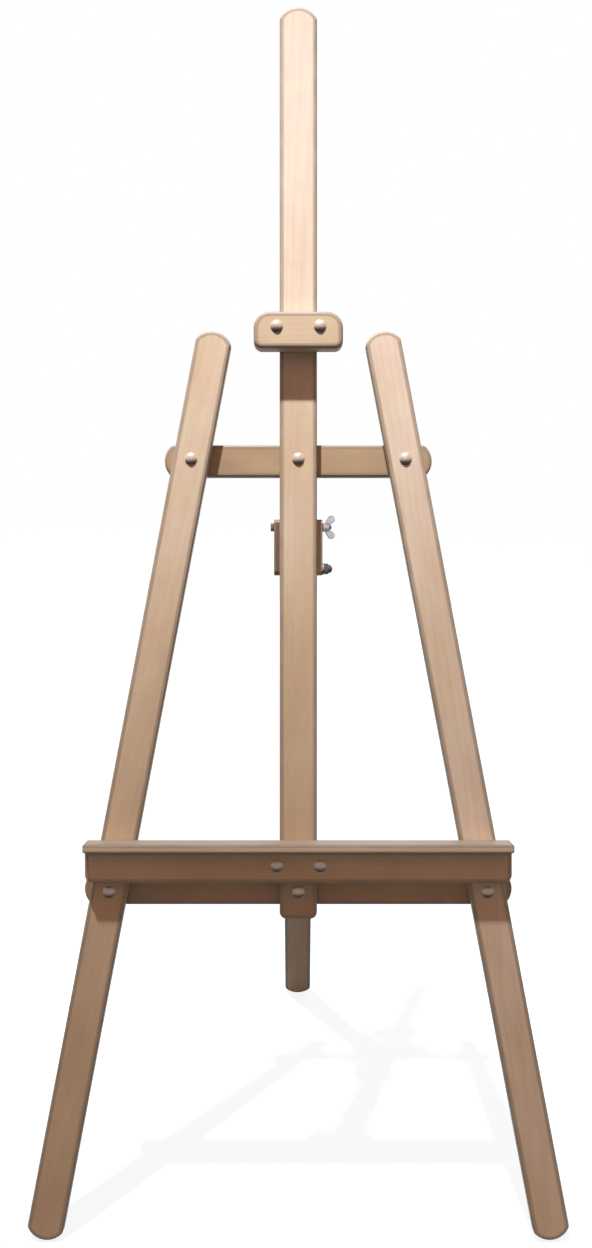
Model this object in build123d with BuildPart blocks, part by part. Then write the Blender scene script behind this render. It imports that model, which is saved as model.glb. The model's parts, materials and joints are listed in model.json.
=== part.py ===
from build123d import *

import os
from math import atan2, cos, degrees, hypot, radians, sin, sqrt

# Wooden artist easel.
#
# Two splayed front legs and a tall mast are bolted in front of two crossbars and lean back as one
# frame. A rear leg hangs from a hinge behind the mast. A tray and a canvas clamp slide on the mast,
# each gripped between a board in front and a block behind by two carriage bolts and wing nuts.
#
# Millimetres and degrees, +Z up, +X to the easel's right as seen from the front, front towards -Y.
# The origin is on the floor, under the middle of the easel. "Height" is measured along the leaning
# frame from the line its front feet stand on, and "depth" is measured behind the frame's front face.

# ---------------------------------------------------------------- stance
lean = 14.0  # how far the mast leans back from upright
open_angle = 32.7  # between mast and rear leg when the easel stands
stop_angle = 38.0  # between mast and rear leg when the leg meets its stop

# ---------------------------------------------------------------- timber
board_thickness = 18.0  # mast and front legs
mast_width = 50.0
mast_length = 1222.5
mast_tail = 36.5  # below the lower bolts
mast_tail_radius = 9.0
front_leg_width = 48.0
front_leg_top = 174.0  # beyond the upper bolt
rear_leg_width = 46.0
rear_leg_thickness = 18.0
crown_radius = 28.0  # arch of the boards' ends
shoulder_radius = 8.0  # where the arch meets the board's sides
edge_ease = 2.2  # chamfer round the broad faces of every board
edge_share = 0.4  # of a board's thickness, the most that its chamfers take

crossbar_width = 43.0
crossbar_thickness = 18.0
crossbar_spacing = 580.0
lower_crossbar_height = 467.5
upper_bolt_spread = 287.5
lower_bolt_spread = 507.5
upper_crossbar_end = 37.5  # beyond the outer bolts
lower_crossbar_end = 36.0

# ---------------------------------------------------------------- hinge
cheek_height = 75.5
cheek_thickness = 9.5
cheek_below_crossbar = 57.5
cheek_margin = 12.0  # cheek behind the pin
cheek_foot_depth = 24.0  # depth of the cheek's lower end
cheek_corner_radius = 6.0
pin_below_cheek_top = 7.0
leg_side_gap = 0.4
spacer_thickness = 18.0
spacer_above_cheek = 22.0
spacer_screw_margin = 22.0  # from the spacer's top to its upper screw
spacer_screw_spacing = 46.0
cheek_bolt_rise = 8.5  # above the cheek's lower edge
stop_gap = 0.4
fold_gap = 1.7  # between the folded leg and the wing nuts of the tray

# ---------------------------------------------------------------- clamp
clamp_width = 118.0
clamp_height = 48.5
clamp_thickness = 26.0
clamp_top_radius = 21.0
clamp_foot_radius = 11.0
clamp_edge_ease = 3.0
clamp_bolt_height = 1218.5
clamp_bolt_rise = 4.5  # bolts above the middle of the block in front
block_width = 100.0  # the blocks behind the mast
block_height = 34.0
block_thickness = 18.0
block_corner_radius = 5.0

# ---------------------------------------------------------------- tray
tray_length = 566.0
tray_bolt_rise = 1.5  # bolts above the middle of the apron
apron_height = 43.0
apron_thickness = 18.0
apron_corner_radius = 11.0
ledge_depth = 37.0
ledge_thickness = 11.0
ledge_corner_radius = 4.0

# ---------------------------------------------------------------- fits
slide_gap = 0.2  # between the mast and what slides on it
seat_gap = 0.2  # between the tray's block and the crossbar it rests on
bolt_beside_mast = 0.6
bolt_hole_gap = 0.25
running_gap = 0.06
pocket_gap = 0.1  # around square necks and screws
overcut = 1.0  # by which a cutter passes a board's face

# ---------------------------------------------------------------- M6 fasteners
bolt_radius = 3.0
bolt_tail = 3.0  # bolt beyond its nut
dome_radius = 8.25
dome_height = 3.6
neck_width = 6.0
neck_length = 3.5
washer_radius = 9.0
pin_washer_radius = 6.2
washer_thickness = 1.6
nut_across_flats = 10.0
nut_height = 5.0
bolt_head_height = 4.0
wing_hub_radius = 6.5
wing_hub_top_radius = 5.2
wing_hub_height = 9.0
wing_span = 33.0
wing_height = 17.0
wing_thickness = 2.8
wing_tip_radius = 4.3
wing_root_radius = 2.0

# ---------------------------------------------------------------- M8 cheek bolt
cheek_bolt_radius = 4.0
cheek_bolt_head_radius = 7.6
cheek_bolt_washer_radius = 8.0
cap_nut_across_flats = 13.0
cap_nut_hex_height = 6.5
cap_nut_height = 12.0
cap_nut_crown_radius = 4.6
cap_nut_wall = 2.2  # metal over the end of the bolt

# ---------------------------------------------------------------- wood screws
screw_radius = 2.0
screw_head_radius = 4.0
spacer_screw_bite = 12.0  # thread in the mast

# ---------------------------------------------------------------- derived sizes
upper_crossbar_height = lower_crossbar_height + crossbar_spacing
bolt_step = (lower_bolt_spread - upper_bolt_spread) / 2
splay = degrees(atan2(bolt_step, crossbar_spacing))
frame_back = board_thickness + crossbar_thickness

slider_bolt_x = mast_width / 2 + bolt_beside_mast + bolt_radius
block_front = board_thickness + slide_gap
block_back = block_front + block_thickness
tray_block_foot = lower_crossbar_height + crossbar_width / 2 + seat_gap
tray_bolt_height = tray_block_foot + block_height / 2
apron_front = slide_gap + apron_thickness
clamp_front = slide_gap + clamp_thickness
clamp_middle = clamp_bolt_height - clamp_bolt_rise
apron_middle = tray_bolt_height - tray_bolt_rise
ledge_foot = apron_middle + apron_height / 2

cheek_top = upper_crossbar_height - crossbar_width / 2 - cheek_below_crossbar
cheek_foot = cheek_top - cheek_height
cheek_x = rear_leg_width / 2 + leg_side_gap
cheek_outer_x = cheek_x + cheek_thickness
cheek_bolt_height = cheek_foot + cheek_bolt_rise
cheek_bolt_depth = board_thickness + spacer_thickness / 2
spacer_back = board_thickness + spacer_thickness
spacer_top = cheek_top + spacer_above_cheek
pin_height = cheek_top - pin_below_cheek_top
wing_nuts_back = block_back + washer_thickness + wing_height
pin_depth = wing_nuts_back + fold_gap + rear_leg_thickness / 2
cheek_back = pin_depth + cheek_margin


def eased(thickness, ease=edge_ease):
    """Chamfer of the edges round a board of this thickness."""
    return min(ease, edge_share * thickness)


# at the stop angle the upper end of the rear leg meets the spacer, with the front face's chamfer
stop_sin, stop_cos = sin(radians(stop_angle)), cos(radians(stop_angle))
leg_ease = eased(rear_leg_thickness)
end_reach = (rear_leg_thickness / 2 - leg_ease) * stop_cos
face_reach = rear_leg_thickness / 2 * stop_cos - leg_ease * stop_sin
stop_reach = pin_depth - spacer_back - stop_gap
leg_above_pin = (stop_reach - max(end_reach, face_reach)) / stop_sin

# the front legs stand on the back edge of what their chamfered ends keep flat
lean_sin, lean_cos = sin(radians(lean)), cos(radians(lean))
board_ease = eased(board_thickness)
foot_rise = (board_thickness - board_ease) * lean_sin
pin_rise = foot_rise + pin_height * lean_cos - pin_depth * lean_sin
pin_reach = pin_height * lean_sin + pin_depth * lean_cos

# the rear leg stands on the front edge of what its chamfered end keeps flat
rake = open_angle - lean
rake_sin, rake_cos = sin(radians(rake)), cos(radians(rake))
leg_below_pin = (pin_rise - (rear_leg_thickness / 2 - leg_ease) * rake_sin) / rake_cos
foot_reach = (leg_below_pin - leg_ease) * rake_sin + rear_leg_thickness / 2 * rake_cos
middle = (board_ease * lean_sin + pin_reach + foot_reach) / 2

# ---------------------------------------------------------------- planes
# x is to the right, y up the mast and z out of the frame's front face
front = Plane(origin=(0, -middle, foot_rise), x_dir=(1, 0, 0), z_dir=(0, -lean_cos, lean_sin))
# x is the depth, y up the mast and z to the right
side = Plane(origin=front.origin, x_dir=(0, lean_cos, -lean_sin), z_dir=(1, 0, 0))
# at the hinge pin: y runs up the rear leg and z out of its front face
pin_point = front.from_local_coords((0, pin_height, -pin_depth))
leg_plane = Plane(origin=pin_point, x_dir=(1, 0, 0), z_dir=(0, -rake_cos, -rake_sin))


def behind(depth):
    """Plane at a depth, facing backwards; its y is up the mast and its x to the left."""
    origin = front.from_local_coords((0, 0, -depth))
    return Plane(origin=origin, x_dir=(-1, 0, 0), z_dir=(0, lean_cos, -lean_sin))


def shelf(height):
    """Plane square to the mast at a height; its x is to the right and its y is the depth."""
    origin = front.from_local_coords((0, height, 0))
    return Plane(origin=origin, x_dir=(1, 0, 0), z_dir=(0, lean_sin, lean_cos))


def crosswise(x, height, depth):
    """Plane that faces away from the mast sideways, to the right where x is positive."""
    origin = front.from_local_coords((x, height, -depth))
    return Plane(origin=origin, x_dir=(0, lean_sin, lean_cos), z_dir=(1 if x > 0 else -1, 0, 0))


# ---------------------------------------------------------------- shared outlines
def arched_board(length, width, foot_radius=None):
    """Outline of a board along Y, centred on the origin, with both ends arched.

    With a foot_radius the lower end is straight instead, and its corners have that radius.
    """
    half, crown = width / 2, length / 2
    side_end = crown - crown_radius + sqrt(crown_radius**2 - half**2)
    foot_end = crown if foot_radius else side_end
    with BuildSketch() as outline:
        with BuildLine():
            Line((half, -foot_end), (half, side_end))
            ThreePointArc((half, side_end), (0, crown), (-half, side_end))
            Line((-half, side_end), (-half, -foot_end))
            if foot_radius:
                Line((-half, -foot_end), (half, -foot_end))
            else:
                ThreePointArc((-half, -foot_end), (0, -crown), (half, -foot_end))
        make_face()
        fillet(outline.vertices().group_by(Axis.Y)[-1], shoulder_radius)
        fillet(outline.vertices().group_by(Axis.Y)[0], foot_radius or shoulder_radius)
    return outline.sketch


def rounded_block(width, height, top_radius, foot_radius):
    """Outline of a block, centred on the origin, with its own radius above and below."""
    with BuildSketch() as outline:
        Rectangle(width, height)
        if top_radius:
            fillet(outline.vertices().group_by(Axis.Y)[-1], top_radius)
        fillet(outline.vertices().group_by(Axis.Y)[0], foot_radius)
    return outline.sketch


def face_edges(board):
    """Edges round the two broad faces of a board."""
    return board.faces().sort_by(SortBy.AREA)[-2:].edges()


# ---------------------------------------------------------------- fasteners
# Each lies along Z with its bearing face on the XY plane.
def carriage_bolt(shank):
    """Domed bolt with a square neck; its head is above the XY plane and its shank below."""
    half_turn = atan2(dome_height, dome_radius)
    sphere = dome_radius / sin(2 * half_turn)
    midway = (sphere * sin(half_turn), dome_height - sphere * (1 - cos(half_turn)))
    with BuildPart() as bolt:
        with BuildSketch(Plane.XZ):
            with BuildLine():
                ThreePointArc((0, dome_height), midway, (dome_radius, 0))
                Polyline(
                    (dome_radius, 0),
                    (bolt_radius, 0),
                    (bolt_radius, -shank),
                    (0, -shank),
                    (0, dome_height),
                )
            make_face()
        revolve(axis=Axis.Z)
        with BuildSketch():
            Rectangle(neck_width, neck_width)
        extrude(amount=-neck_length)
    return bolt.part


def hexagon(across_flats, height, bore=0):
    """Hexagon that stands on the XY plane, with or without a bore."""
    with BuildPart() as prism:
        with BuildSketch():
            RegularPolygon(across_flats / 2, 6, major_radius=False)
            if bore:
                Circle(bore, mode=Mode.SUBTRACT)
        extrude(amount=height)
    return prism.part


def hexagon_bolt(shank):
    """Hexagon-head bolt; its head is above the XY plane and its shank below."""
    head = hexagon(nut_across_flats, bolt_head_height)
    with BuildPart() as bolt:
        with BuildSketch():
            Circle(bolt_radius)
        extrude(amount=-shank)
        add(head)
    return bolt.part


def countersunk(length, radius, head_radius):
    """Flat-headed fastener below the XY plane, with a 90 degree head."""
    with BuildPart() as fastener:
        with BuildSketch(Plane.XZ):
            Polygon(
                (0, 0),
                (head_radius, 0),
                (radius, radius - head_radius),
                (radius, -length),
                (0, -length),
            )
        revolve(axis=Axis.Z)
    return fastener.part


def washer(outer, inner):
    """Flat washer that stands on the XY plane."""
    with BuildPart() as ring:
        with BuildSketch():
            Circle(outer)
            Circle(inner, mode=Mode.SUBTRACT)
        extrude(amount=washer_thickness)
    return ring.part


def wing_nut():
    """Wing nut that stands on the XY plane, its two wings along X."""
    tip = (wing_span / 2 - wing_tip_radius, wing_height - wing_tip_radius)
    low_root = (wing_hub_top_radius - wing_root_radius, 1.5 * wing_root_radius)
    high_root = (wing_root_radius + bolt_radius / 2, wing_hub_height - wing_root_radius)
    with BuildPart() as nut:
        with BuildSketch(Plane.XZ):
            with Locations(tip):
                Circle(wing_tip_radius)
            with Locations(low_root, high_root):
                Circle(wing_root_radius)
            make_hull()
        extrude(amount=wing_thickness / 2, both=True)
        mirror(about=Plane.YZ)
        with BuildSketch(Plane.XZ):
            Polygon(
                (0, 0),
                (wing_hub_radius, 0),
                (wing_hub_top_radius, wing_hub_height),
                (0, wing_hub_height),
            )
        revolve(axis=Axis.Z)
        Hole(bolt_radius + running_gap)
    return nut.part


def cap_nut():
    """Closed hexagon nut that stands on the XY plane, its upper end turned to a cone."""
    corner = cap_nut_across_flats / sqrt(3)
    with BuildPart() as nut:
        with BuildSketch():
            RegularPolygon(cap_nut_across_flats / 2, 6, major_radius=False)
        extrude(amount=cap_nut_height)
        with BuildSketch(Plane.XZ):
            Polygon(
                (0, 0),
                (corner, 0),
                (corner, cap_nut_hex_height),
                (cap_nut_crown_radius, cap_nut_height),
                (0, cap_nut_height),
            )
        revolve(axis=Axis.Z, mode=Mode.INTERSECT)
        with BuildSketch():
            Circle(cheek_bolt_radius + running_gap)
        extrude(amount=cap_nut_height - cap_nut_wall, mode=Mode.SUBTRACT)
    return nut.part


plain_washer = washer(washer_radius, bolt_radius + bolt_hole_gap)
plain_nut = hexagon(nut_across_flats, nut_height, bolt_radius + running_gap)
plain_wing_nut = wing_nut()


# ---------------------------------------------------------------- cutters for their holes
def bolt_passage(length):
    """Cutter for a carriage bolt: a round hole with a square pocket at its upper end."""
    pocket_width = neck_width + 2 * pocket_gap
    with BuildPart() as passage:
        with BuildSketch(Plane.XY.offset(overcut)):
            Circle(bolt_radius + bolt_hole_gap)
        extrude(amount=-length - 2 * overcut)
        with BuildSketch(Plane.XY.offset(overcut)):
            Rectangle(pocket_width, pocket_width)
        extrude(amount=-neck_length - pocket_gap - overcut)
    return passage.part


def screw_passage(length):
    """Cutter for a countersunk wood screw, with a little room all round."""
    return countersunk(length + pocket_gap, screw_radius + pocket_gap, screw_head_radius + pocket_gap)


# ---------------------------------------------------------------- front frame
os.makedirs("parts", exist_ok=True)

upper_spots = [(x, upper_crossbar_height) for x in (-upper_bolt_spread / 2, 0, upper_bolt_spread / 2)]
lower_spots = [(x, lower_crossbar_height) for x in (-lower_bolt_spread / 2, 0, lower_bolt_spread / 2)]
frame_spots = upper_spots + lower_spots
board_passage = bolt_passage(board_thickness)

upper_screw_height = spacer_top - spacer_screw_margin
spacer_screw_spots = [(0, upper_screw_height), (0, upper_screw_height - spacer_screw_spacing)]
spacer_screw_length = spacer_thickness + spacer_screw_bite
spacer_screw_passage = screw_passage(spacer_screw_length)

# mast: arched above, straight with rounded corners below
mast_outline = arched_board(mast_length, mast_width, mast_tail_radius)
with BuildPart() as mast:
    with BuildSketch(front):
        with Locations((0, lower_crossbar_height - mast_tail + mast_length / 2)):
            add(mast_outline)
    extrude(amount=-board_thickness)
    chamfer(face_edges(mast), eased(board_thickness))
    with Locations(front), Locations(upper_spots[1], lower_spots[1]):
        add(board_passage, mode=Mode.SUBTRACT)
    with Locations(behind(spacer_back)), Locations(*spacer_screw_spots):
        add(spacer_screw_passage, mode=Mode.SUBTRACT)
mast.part.label = "mast"
export_step(mast.part, "parts/mast.step")

# front legs: the right one is drawn, and the left one is its mirror image
leg_foot = (lower_crossbar_height - crown_radius) / cos(radians(splay)) + crown_radius
leg_length = front_leg_top + hypot(bolt_step, crossbar_spacing) + leg_foot
leg_middle = leg_length / 2 - leg_foot  # from the lower bolt, up the leg
leg_middle_x = lower_bolt_spread / 2 - leg_middle * sin(radians(splay))
leg_middle_height = lower_crossbar_height + leg_middle * cos(radians(splay))
leg_outline = arched_board(leg_length, front_leg_width)
with BuildPart() as front_leg_right:
    with BuildSketch(front):
        with Locations(Location((leg_middle_x, leg_middle_height, 0), (0, 0, splay))):
            add(leg_outline)
    extrude(amount=-board_thickness)
    chamfer(face_edges(front_leg_right), eased(board_thickness))
    with Locations(front), Locations(upper_spots[2], lower_spots[2]):
        add(board_passage, mode=Mode.SUBTRACT)
front_leg_right.part.label = "front_leg_right"
export_step(front_leg_right.part, "parts/front_leg_right.step")

with BuildPart() as front_leg_left:
    mirror(front_leg_right.part, about=Plane.YZ)
front_leg_left.part.label = "front_leg_left"
export_step(front_leg_left.part, "parts/front_leg_left.step")


def crossbar(spots, end):
    """One crossbar behind the mast and legs, with a hole at each spot."""
    outline = arched_board(2 * (spots[-1][0] + end), crossbar_width)
    with BuildPart() as bar:
        with BuildSketch(front.offset(-board_thickness)):
            with Locations(Location((*spots[1], 0), (0, 0, 90))):
                add(outline)
        extrude(amount=-crossbar_thickness)
        chamfer(face_edges(bar), eased(crossbar_thickness))
        with Locations(front), Locations(*spots):
            Hole(bolt_radius + bolt_hole_gap)
    return bar


upper_crossbar = crossbar(upper_spots, upper_crossbar_end)
upper_crossbar.part.label = "upper_crossbar"
export_step(upper_crossbar.part, "parts/upper_crossbar.step")

lower_crossbar = crossbar(lower_spots, lower_crossbar_end)
lower_crossbar.part.label = "lower_crossbar"
export_step(lower_crossbar.part, "parts/lower_crossbar.step")

# frame fasteners: heads in front, washers and nuts behind the crossbars
frame_bolt = carriage_bolt(frame_back + washer_thickness + nut_height + bolt_tail)
with BuildPart() as frame_bolts:
    with Locations(front), Locations(*frame_spots):
        add(frame_bolt)
frame_bolts.part.label = "frame_bolts"
export_step(frame_bolts.part, "parts/frame_bolts.step")

with BuildPart() as frame_washers:
    with Locations(behind(frame_back)), Locations(*frame_spots):
        add(plain_washer)
frame_washers.part.label = "frame_washers"
export_step(frame_washers.part, "parts/frame_washers.step")

with BuildPart() as frame_nuts:
    with Locations(behind(frame_back + washer_thickness)), Locations(*frame_spots):
        add(plain_nut)
frame_nuts.part.label = "frame_nuts"
export_step(frame_nuts.part, "parts/frame_nuts.step")

# ---------------------------------------------------------------- hinge
# spacer: screwed to the back of the mast; the cheeks flank it and the leg stops against it
with BuildPart() as hinge_spacer:
    with BuildSketch(front.offset(-board_thickness)):
        with Locations((0, cheek_foot)):
            Rectangle(2 * cheek_x, spacer_top - cheek_foot, align=(Align.CENTER, Align.MIN))
    extrude(amount=-spacer_thickness)
    with Locations(behind(spacer_back)), Locations(*spacer_screw_spots):
        add(spacer_screw_passage, mode=Mode.SUBTRACT)
    with Locations(crosswise(cheek_x, cheek_bolt_height, cheek_bolt_depth)):
        Hole(cheek_bolt_radius + bolt_hole_gap)
hinge_spacer.part.label = "hinge_spacer"
export_step(hinge_spacer.part, "parts/hinge_spacer.step")

spacer_screw = countersunk(spacer_screw_length, screw_radius, screw_head_radius)
with BuildPart() as spacer_screws:
    with Locations(behind(spacer_back)), Locations(*spacer_screw_spots):
        add(spacer_screw)
spacer_screws.part.label = "spacer_screws"
export_step(spacer_screws.part, "parts/spacer_screws.step")

# cheeks: deep enough above to carry the pin, tapering to the spacer below
cheek_corners = [
    (board_thickness, cheek_foot),
    (board_thickness + cheek_foot_depth, cheek_foot),
    (cheek_back, pin_height - 2 * cheek_margin),
    (cheek_back, cheek_top),
    (board_thickness, cheek_top),
]
with BuildSketch() as cheek_outline:
    Polygon(*cheek_corners)
    fillet(cheek_outline.vertices(), cheek_corner_radius)
cheek_bolt_sink = countersunk(
    cheek_thickness + overcut,
    cheek_bolt_radius + bolt_hole_gap,
    cheek_bolt_head_radius + bolt_hole_gap,
)

with BuildPart() as hinge_cheek_right:
    with BuildSketch(side.offset(cheek_x)):
        add(cheek_outline.sketch)
    extrude(amount=cheek_thickness)
    with Locations(side), Locations((pin_depth, pin_height)):
        Hole(bolt_radius + running_gap)
    with Locations(side), Locations((cheek_bolt_depth, cheek_bolt_height)):
        Hole(cheek_bolt_radius + bolt_hole_gap)
hinge_cheek_right.part.label = "hinge_cheek_right"
export_step(hinge_cheek_right.part, "parts/hinge_cheek_right.step")

with BuildPart() as hinge_cheek_left:
    mirror(hinge_cheek_right.part, about=Plane.YZ)
    with Locations(crosswise(-cheek_outer_x, cheek_bolt_height, cheek_bolt_depth)):
        add(cheek_bolt_sink, mode=Mode.SUBTRACT)
hinge_cheek_left.part.label = "hinge_cheek_left"
export_step(hinge_cheek_left.part, "parts/hinge_cheek_left.step")

# cheek bolt: its head is flush in the left cheek and its nut stands on the right one
cheek_bolt_length = 2 * cheek_outer_x + washer_thickness + cap_nut_height - cap_nut_wall - pocket_gap
cheek_bolt_body = countersunk(cheek_bolt_length, cheek_bolt_radius, cheek_bolt_head_radius)
with BuildPart() as cheek_bolt:
    with Locations(crosswise(-cheek_outer_x, cheek_bolt_height, cheek_bolt_depth)):
        add(cheek_bolt_body)
cheek_bolt.part.label = "cheek_bolt"
export_step(cheek_bolt.part, "parts/cheek_bolt.step")

cheek_washer = washer(cheek_bolt_washer_radius, cheek_bolt_radius + bolt_hole_gap)
with BuildPart() as cheek_bolt_washer:
    with Locations(crosswise(cheek_outer_x, cheek_bolt_height, cheek_bolt_depth)):
        add(cheek_washer)
cheek_bolt_washer.part.label = "cheek_bolt_washer"
export_step(cheek_bolt_washer.part, "parts/cheek_bolt_washer.step")

cheek_nut_x = cheek_outer_x + washer_thickness
cheek_nut = cap_nut()
with BuildPart() as cheek_bolt_nut:
    with Locations(crosswise(cheek_nut_x, cheek_bolt_height, cheek_bolt_depth)):
        add(cheek_nut)
cheek_bolt_nut.part.label = "cheek_bolt_nut"
export_step(cheek_bolt_nut.part, "parts/cheek_bolt_nut.step")

# hinge pin: a hexagon bolt from the left, locked by a wing nut on the right
pin_nut_x = cheek_outer_x + washer_thickness
pin_bolt = hexagon_bolt(2 * pin_nut_x + wing_hub_height + bolt_tail)
with BuildPart() as hinge_bolt:
    with Locations(crosswise(-pin_nut_x, pin_height, pin_depth)):
        add(pin_bolt)
hinge_bolt.part.label = "hinge_bolt"
export_step(hinge_bolt.part, "parts/hinge_bolt.step")

pin_washer = washer(pin_washer_radius, bolt_radius + bolt_hole_gap)
with BuildPart() as hinge_washers:
    with Locations(
        crosswise(-cheek_outer_x, pin_height, pin_depth), crosswise(cheek_outer_x, pin_height, pin_depth)
    ):
        add(pin_washer)
hinge_washers.part.label = "hinge_washers"
export_step(hinge_washers.part, "parts/hinge_washers.step")

with BuildPart() as hinge_wing_nut:
    with Locations(crosswise(pin_nut_x, pin_height, pin_depth)):
        add(plain_wing_nut)
hinge_wing_nut.part.label = "hinge_wing_nut"
export_step(hinge_wing_nut.part, "parts/hinge_wing_nut.step")

# rear leg: turns on the pin between the cheeks
rear_leg_outline = arched_board(leg_above_pin + leg_below_pin, rear_leg_width)
with BuildPart() as rear_leg:
    with BuildSketch(leg_plane):
        with Locations((0, (leg_above_pin - leg_below_pin) / 2)):
            add(rear_leg_outline)
    extrude(amount=rear_leg_thickness / 2, both=True)
    chamfer(face_edges(rear_leg), eased(rear_leg_thickness))
    with Locations(crosswise(rear_leg_width / 2, pin_height, pin_depth)):
        Hole(bolt_radius + running_gap)
rear_leg.part.label = "rear_leg"
export_step(rear_leg.part, "parts/rear_leg.step")

# ---------------------------------------------------------------- canvas clamp
clamp_spots = [(-slider_bolt_x, clamp_bolt_height), (slider_bolt_x, clamp_bolt_height)]
clamp_outline = rounded_block(clamp_width, clamp_height, clamp_top_radius, clamp_foot_radius)
block_outline = rounded_block(block_width, block_height, block_corner_radius, block_corner_radius)

clamp_passage = bolt_passage(clamp_thickness)
with BuildPart() as clamp_front_block:
    with BuildSketch(front.offset(clamp_front)):
        with Locations((0, clamp_middle)):
            add(clamp_outline)
    extrude(amount=-clamp_thickness)
    chamfer(face_edges(clamp_front_block), eased(clamp_thickness, clamp_edge_ease))
    with Locations(front.offset(clamp_front)), Locations(*clamp_spots):
        add(clamp_passage, mode=Mode.SUBTRACT)
clamp_front_block.part.label = "clamp_front_block"
export_step(clamp_front_block.part, "parts/clamp_front_block.step")


def rear_block(spots):
    """Slim block behind the mast, drawn by two bolts towards the board in front of it."""
    with BuildPart() as block:
        with BuildSketch(front.offset(-block_front)):
            with Locations((0, spots[0][1])):
                add(block_outline)
        extrude(amount=-block_thickness)
        chamfer(face_edges(block), eased(block_thickness))
        with Locations(front), Locations(*spots):
            Hole(bolt_radius + bolt_hole_gap)
    return block


clamp_rear_block = rear_block(clamp_spots)
clamp_rear_block.part.label = "clamp_rear_block"
export_step(clamp_rear_block.part, "parts/clamp_rear_block.step")

nut_grip = block_back + washer_thickness + wing_hub_height + bolt_tail
clamp_bolt = carriage_bolt(clamp_front + nut_grip)
with BuildPart() as clamp_bolts:
    with Locations(front.offset(clamp_front)), Locations(*clamp_spots):
        add(clamp_bolt)
clamp_bolts.part.label = "clamp_bolts"
export_step(clamp_bolts.part, "parts/clamp_bolts.step")

with BuildPart() as clamp_washers:
    with Locations(behind(block_back)), Locations(*clamp_spots):
        add(plain_washer)
clamp_washers.part.label = "clamp_washers"
export_step(clamp_washers.part, "parts/clamp_washers.step")


def slider_wing_nut(spot):
    """Wing nut behind a slider's block, on the bolt at a spot of the frame's front face."""
    x, height = spot
    with BuildPart() as nut:
        with Locations(behind(block_back + washer_thickness)), Locations((-x, height)):
            add(plain_wing_nut)
    return nut


clamp_wing_nut_left = slider_wing_nut(clamp_spots[0])
clamp_wing_nut_left.part.label = "clamp_wing_nut_left"
export_step(clamp_wing_nut_left.part, "parts/clamp_wing_nut_left.step")

clamp_wing_nut_right = slider_wing_nut(clamp_spots[1])
clamp_wing_nut_right.part.label = "clamp_wing_nut_right"
export_step(clamp_wing_nut_right.part, "parts/clamp_wing_nut_right.step")

# ---------------------------------------------------------------- tray
tray_spots = [(-slider_bolt_x, tray_bolt_height), (slider_bolt_x, tray_bolt_height)]
apron_outline = rounded_block(tray_length, apron_height, 0, apron_corner_radius)
apron_passage = bolt_passage(apron_thickness)
with BuildPart() as tray_apron:
    with BuildSketch(front.offset(apron_front)):
        with Locations((0, apron_middle)):
            add(apron_outline)
    extrude(amount=-apron_thickness)
    chamfer(face_edges(tray_apron), eased(apron_thickness))
    with Locations(front.offset(apron_front)), Locations(*tray_spots):
        add(apron_passage, mode=Mode.SUBTRACT)
tray_apron.part.label = "tray_apron"
export_step(tray_apron.part, "parts/tray_apron.step")

# ledge: its front corners are rounded, and its back edge lies along the frame's front face
ledge_outline = rounded_block(tray_length, ledge_depth, 0, ledge_corner_radius)
with BuildPart() as tray_ledge:
    with BuildSketch(shelf(ledge_foot)):
        with Locations((0, -slide_gap - ledge_depth / 2)):
            add(ledge_outline)
    extrude(amount=ledge_thickness)
    chamfer(face_edges(tray_ledge), eased(ledge_thickness))
tray_ledge.part.label = "tray_ledge"
export_step(tray_ledge.part, "parts/tray_ledge.step")

tray_rear_block = rear_block(tray_spots)
tray_rear_block.part.label = "tray_rear_block"
export_step(tray_rear_block.part, "parts/tray_rear_block.step")

tray_bolt = carriage_bolt(apron_front + nut_grip)
with BuildPart() as tray_bolts:
    with Locations(front.offset(apron_front)), Locations(*tray_spots):
        add(tray_bolt)
tray_bolts.part.label = "tray_bolts"
export_step(tray_bolts.part, "parts/tray_bolts.step")

with BuildPart() as tray_washers:
    with Locations(behind(block_back)), Locations(*tray_spots):
        add(plain_washer)
tray_washers.part.label = "tray_washers"
export_step(tray_washers.part, "parts/tray_washers.step")

tray_wing_nut_left = slider_wing_nut(tray_spots[0])
tray_wing_nut_left.part.label = "tray_wing_nut_left"
export_step(tray_wing_nut_left.part, "parts/tray_wing_nut_left.step")

tray_wing_nut_right = slider_wing_nut(tray_spots[1])
tray_wing_nut_right.part.label = "tray_wing_nut_right"
export_step(tray_wing_nut_right.part, "parts/tray_wing_nut_right.step")
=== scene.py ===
"""Wooden artist easel: its boards, its fittings and their finishes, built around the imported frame.

The frame gives every place and size. A board is read from its node along its own directions and
is cut again with rounded edges. A fitting is turned or cast again at the place of its solid.
Lengths in the pieces' own frames are millimetres, and what reaches Blender is in metres.
"""

import json
import logging
import math
import random
from collections.abc import Callable, Sequence
from dataclasses import dataclass, field
from enum import Enum

import bmesh
import bpy
from bmesh.types import BMesh
from bpy.types import Material, Node, NodeSocket, Object
from mathutils import Matrix, Vector
from mathutils.geometry import convex_hull_2d

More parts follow.
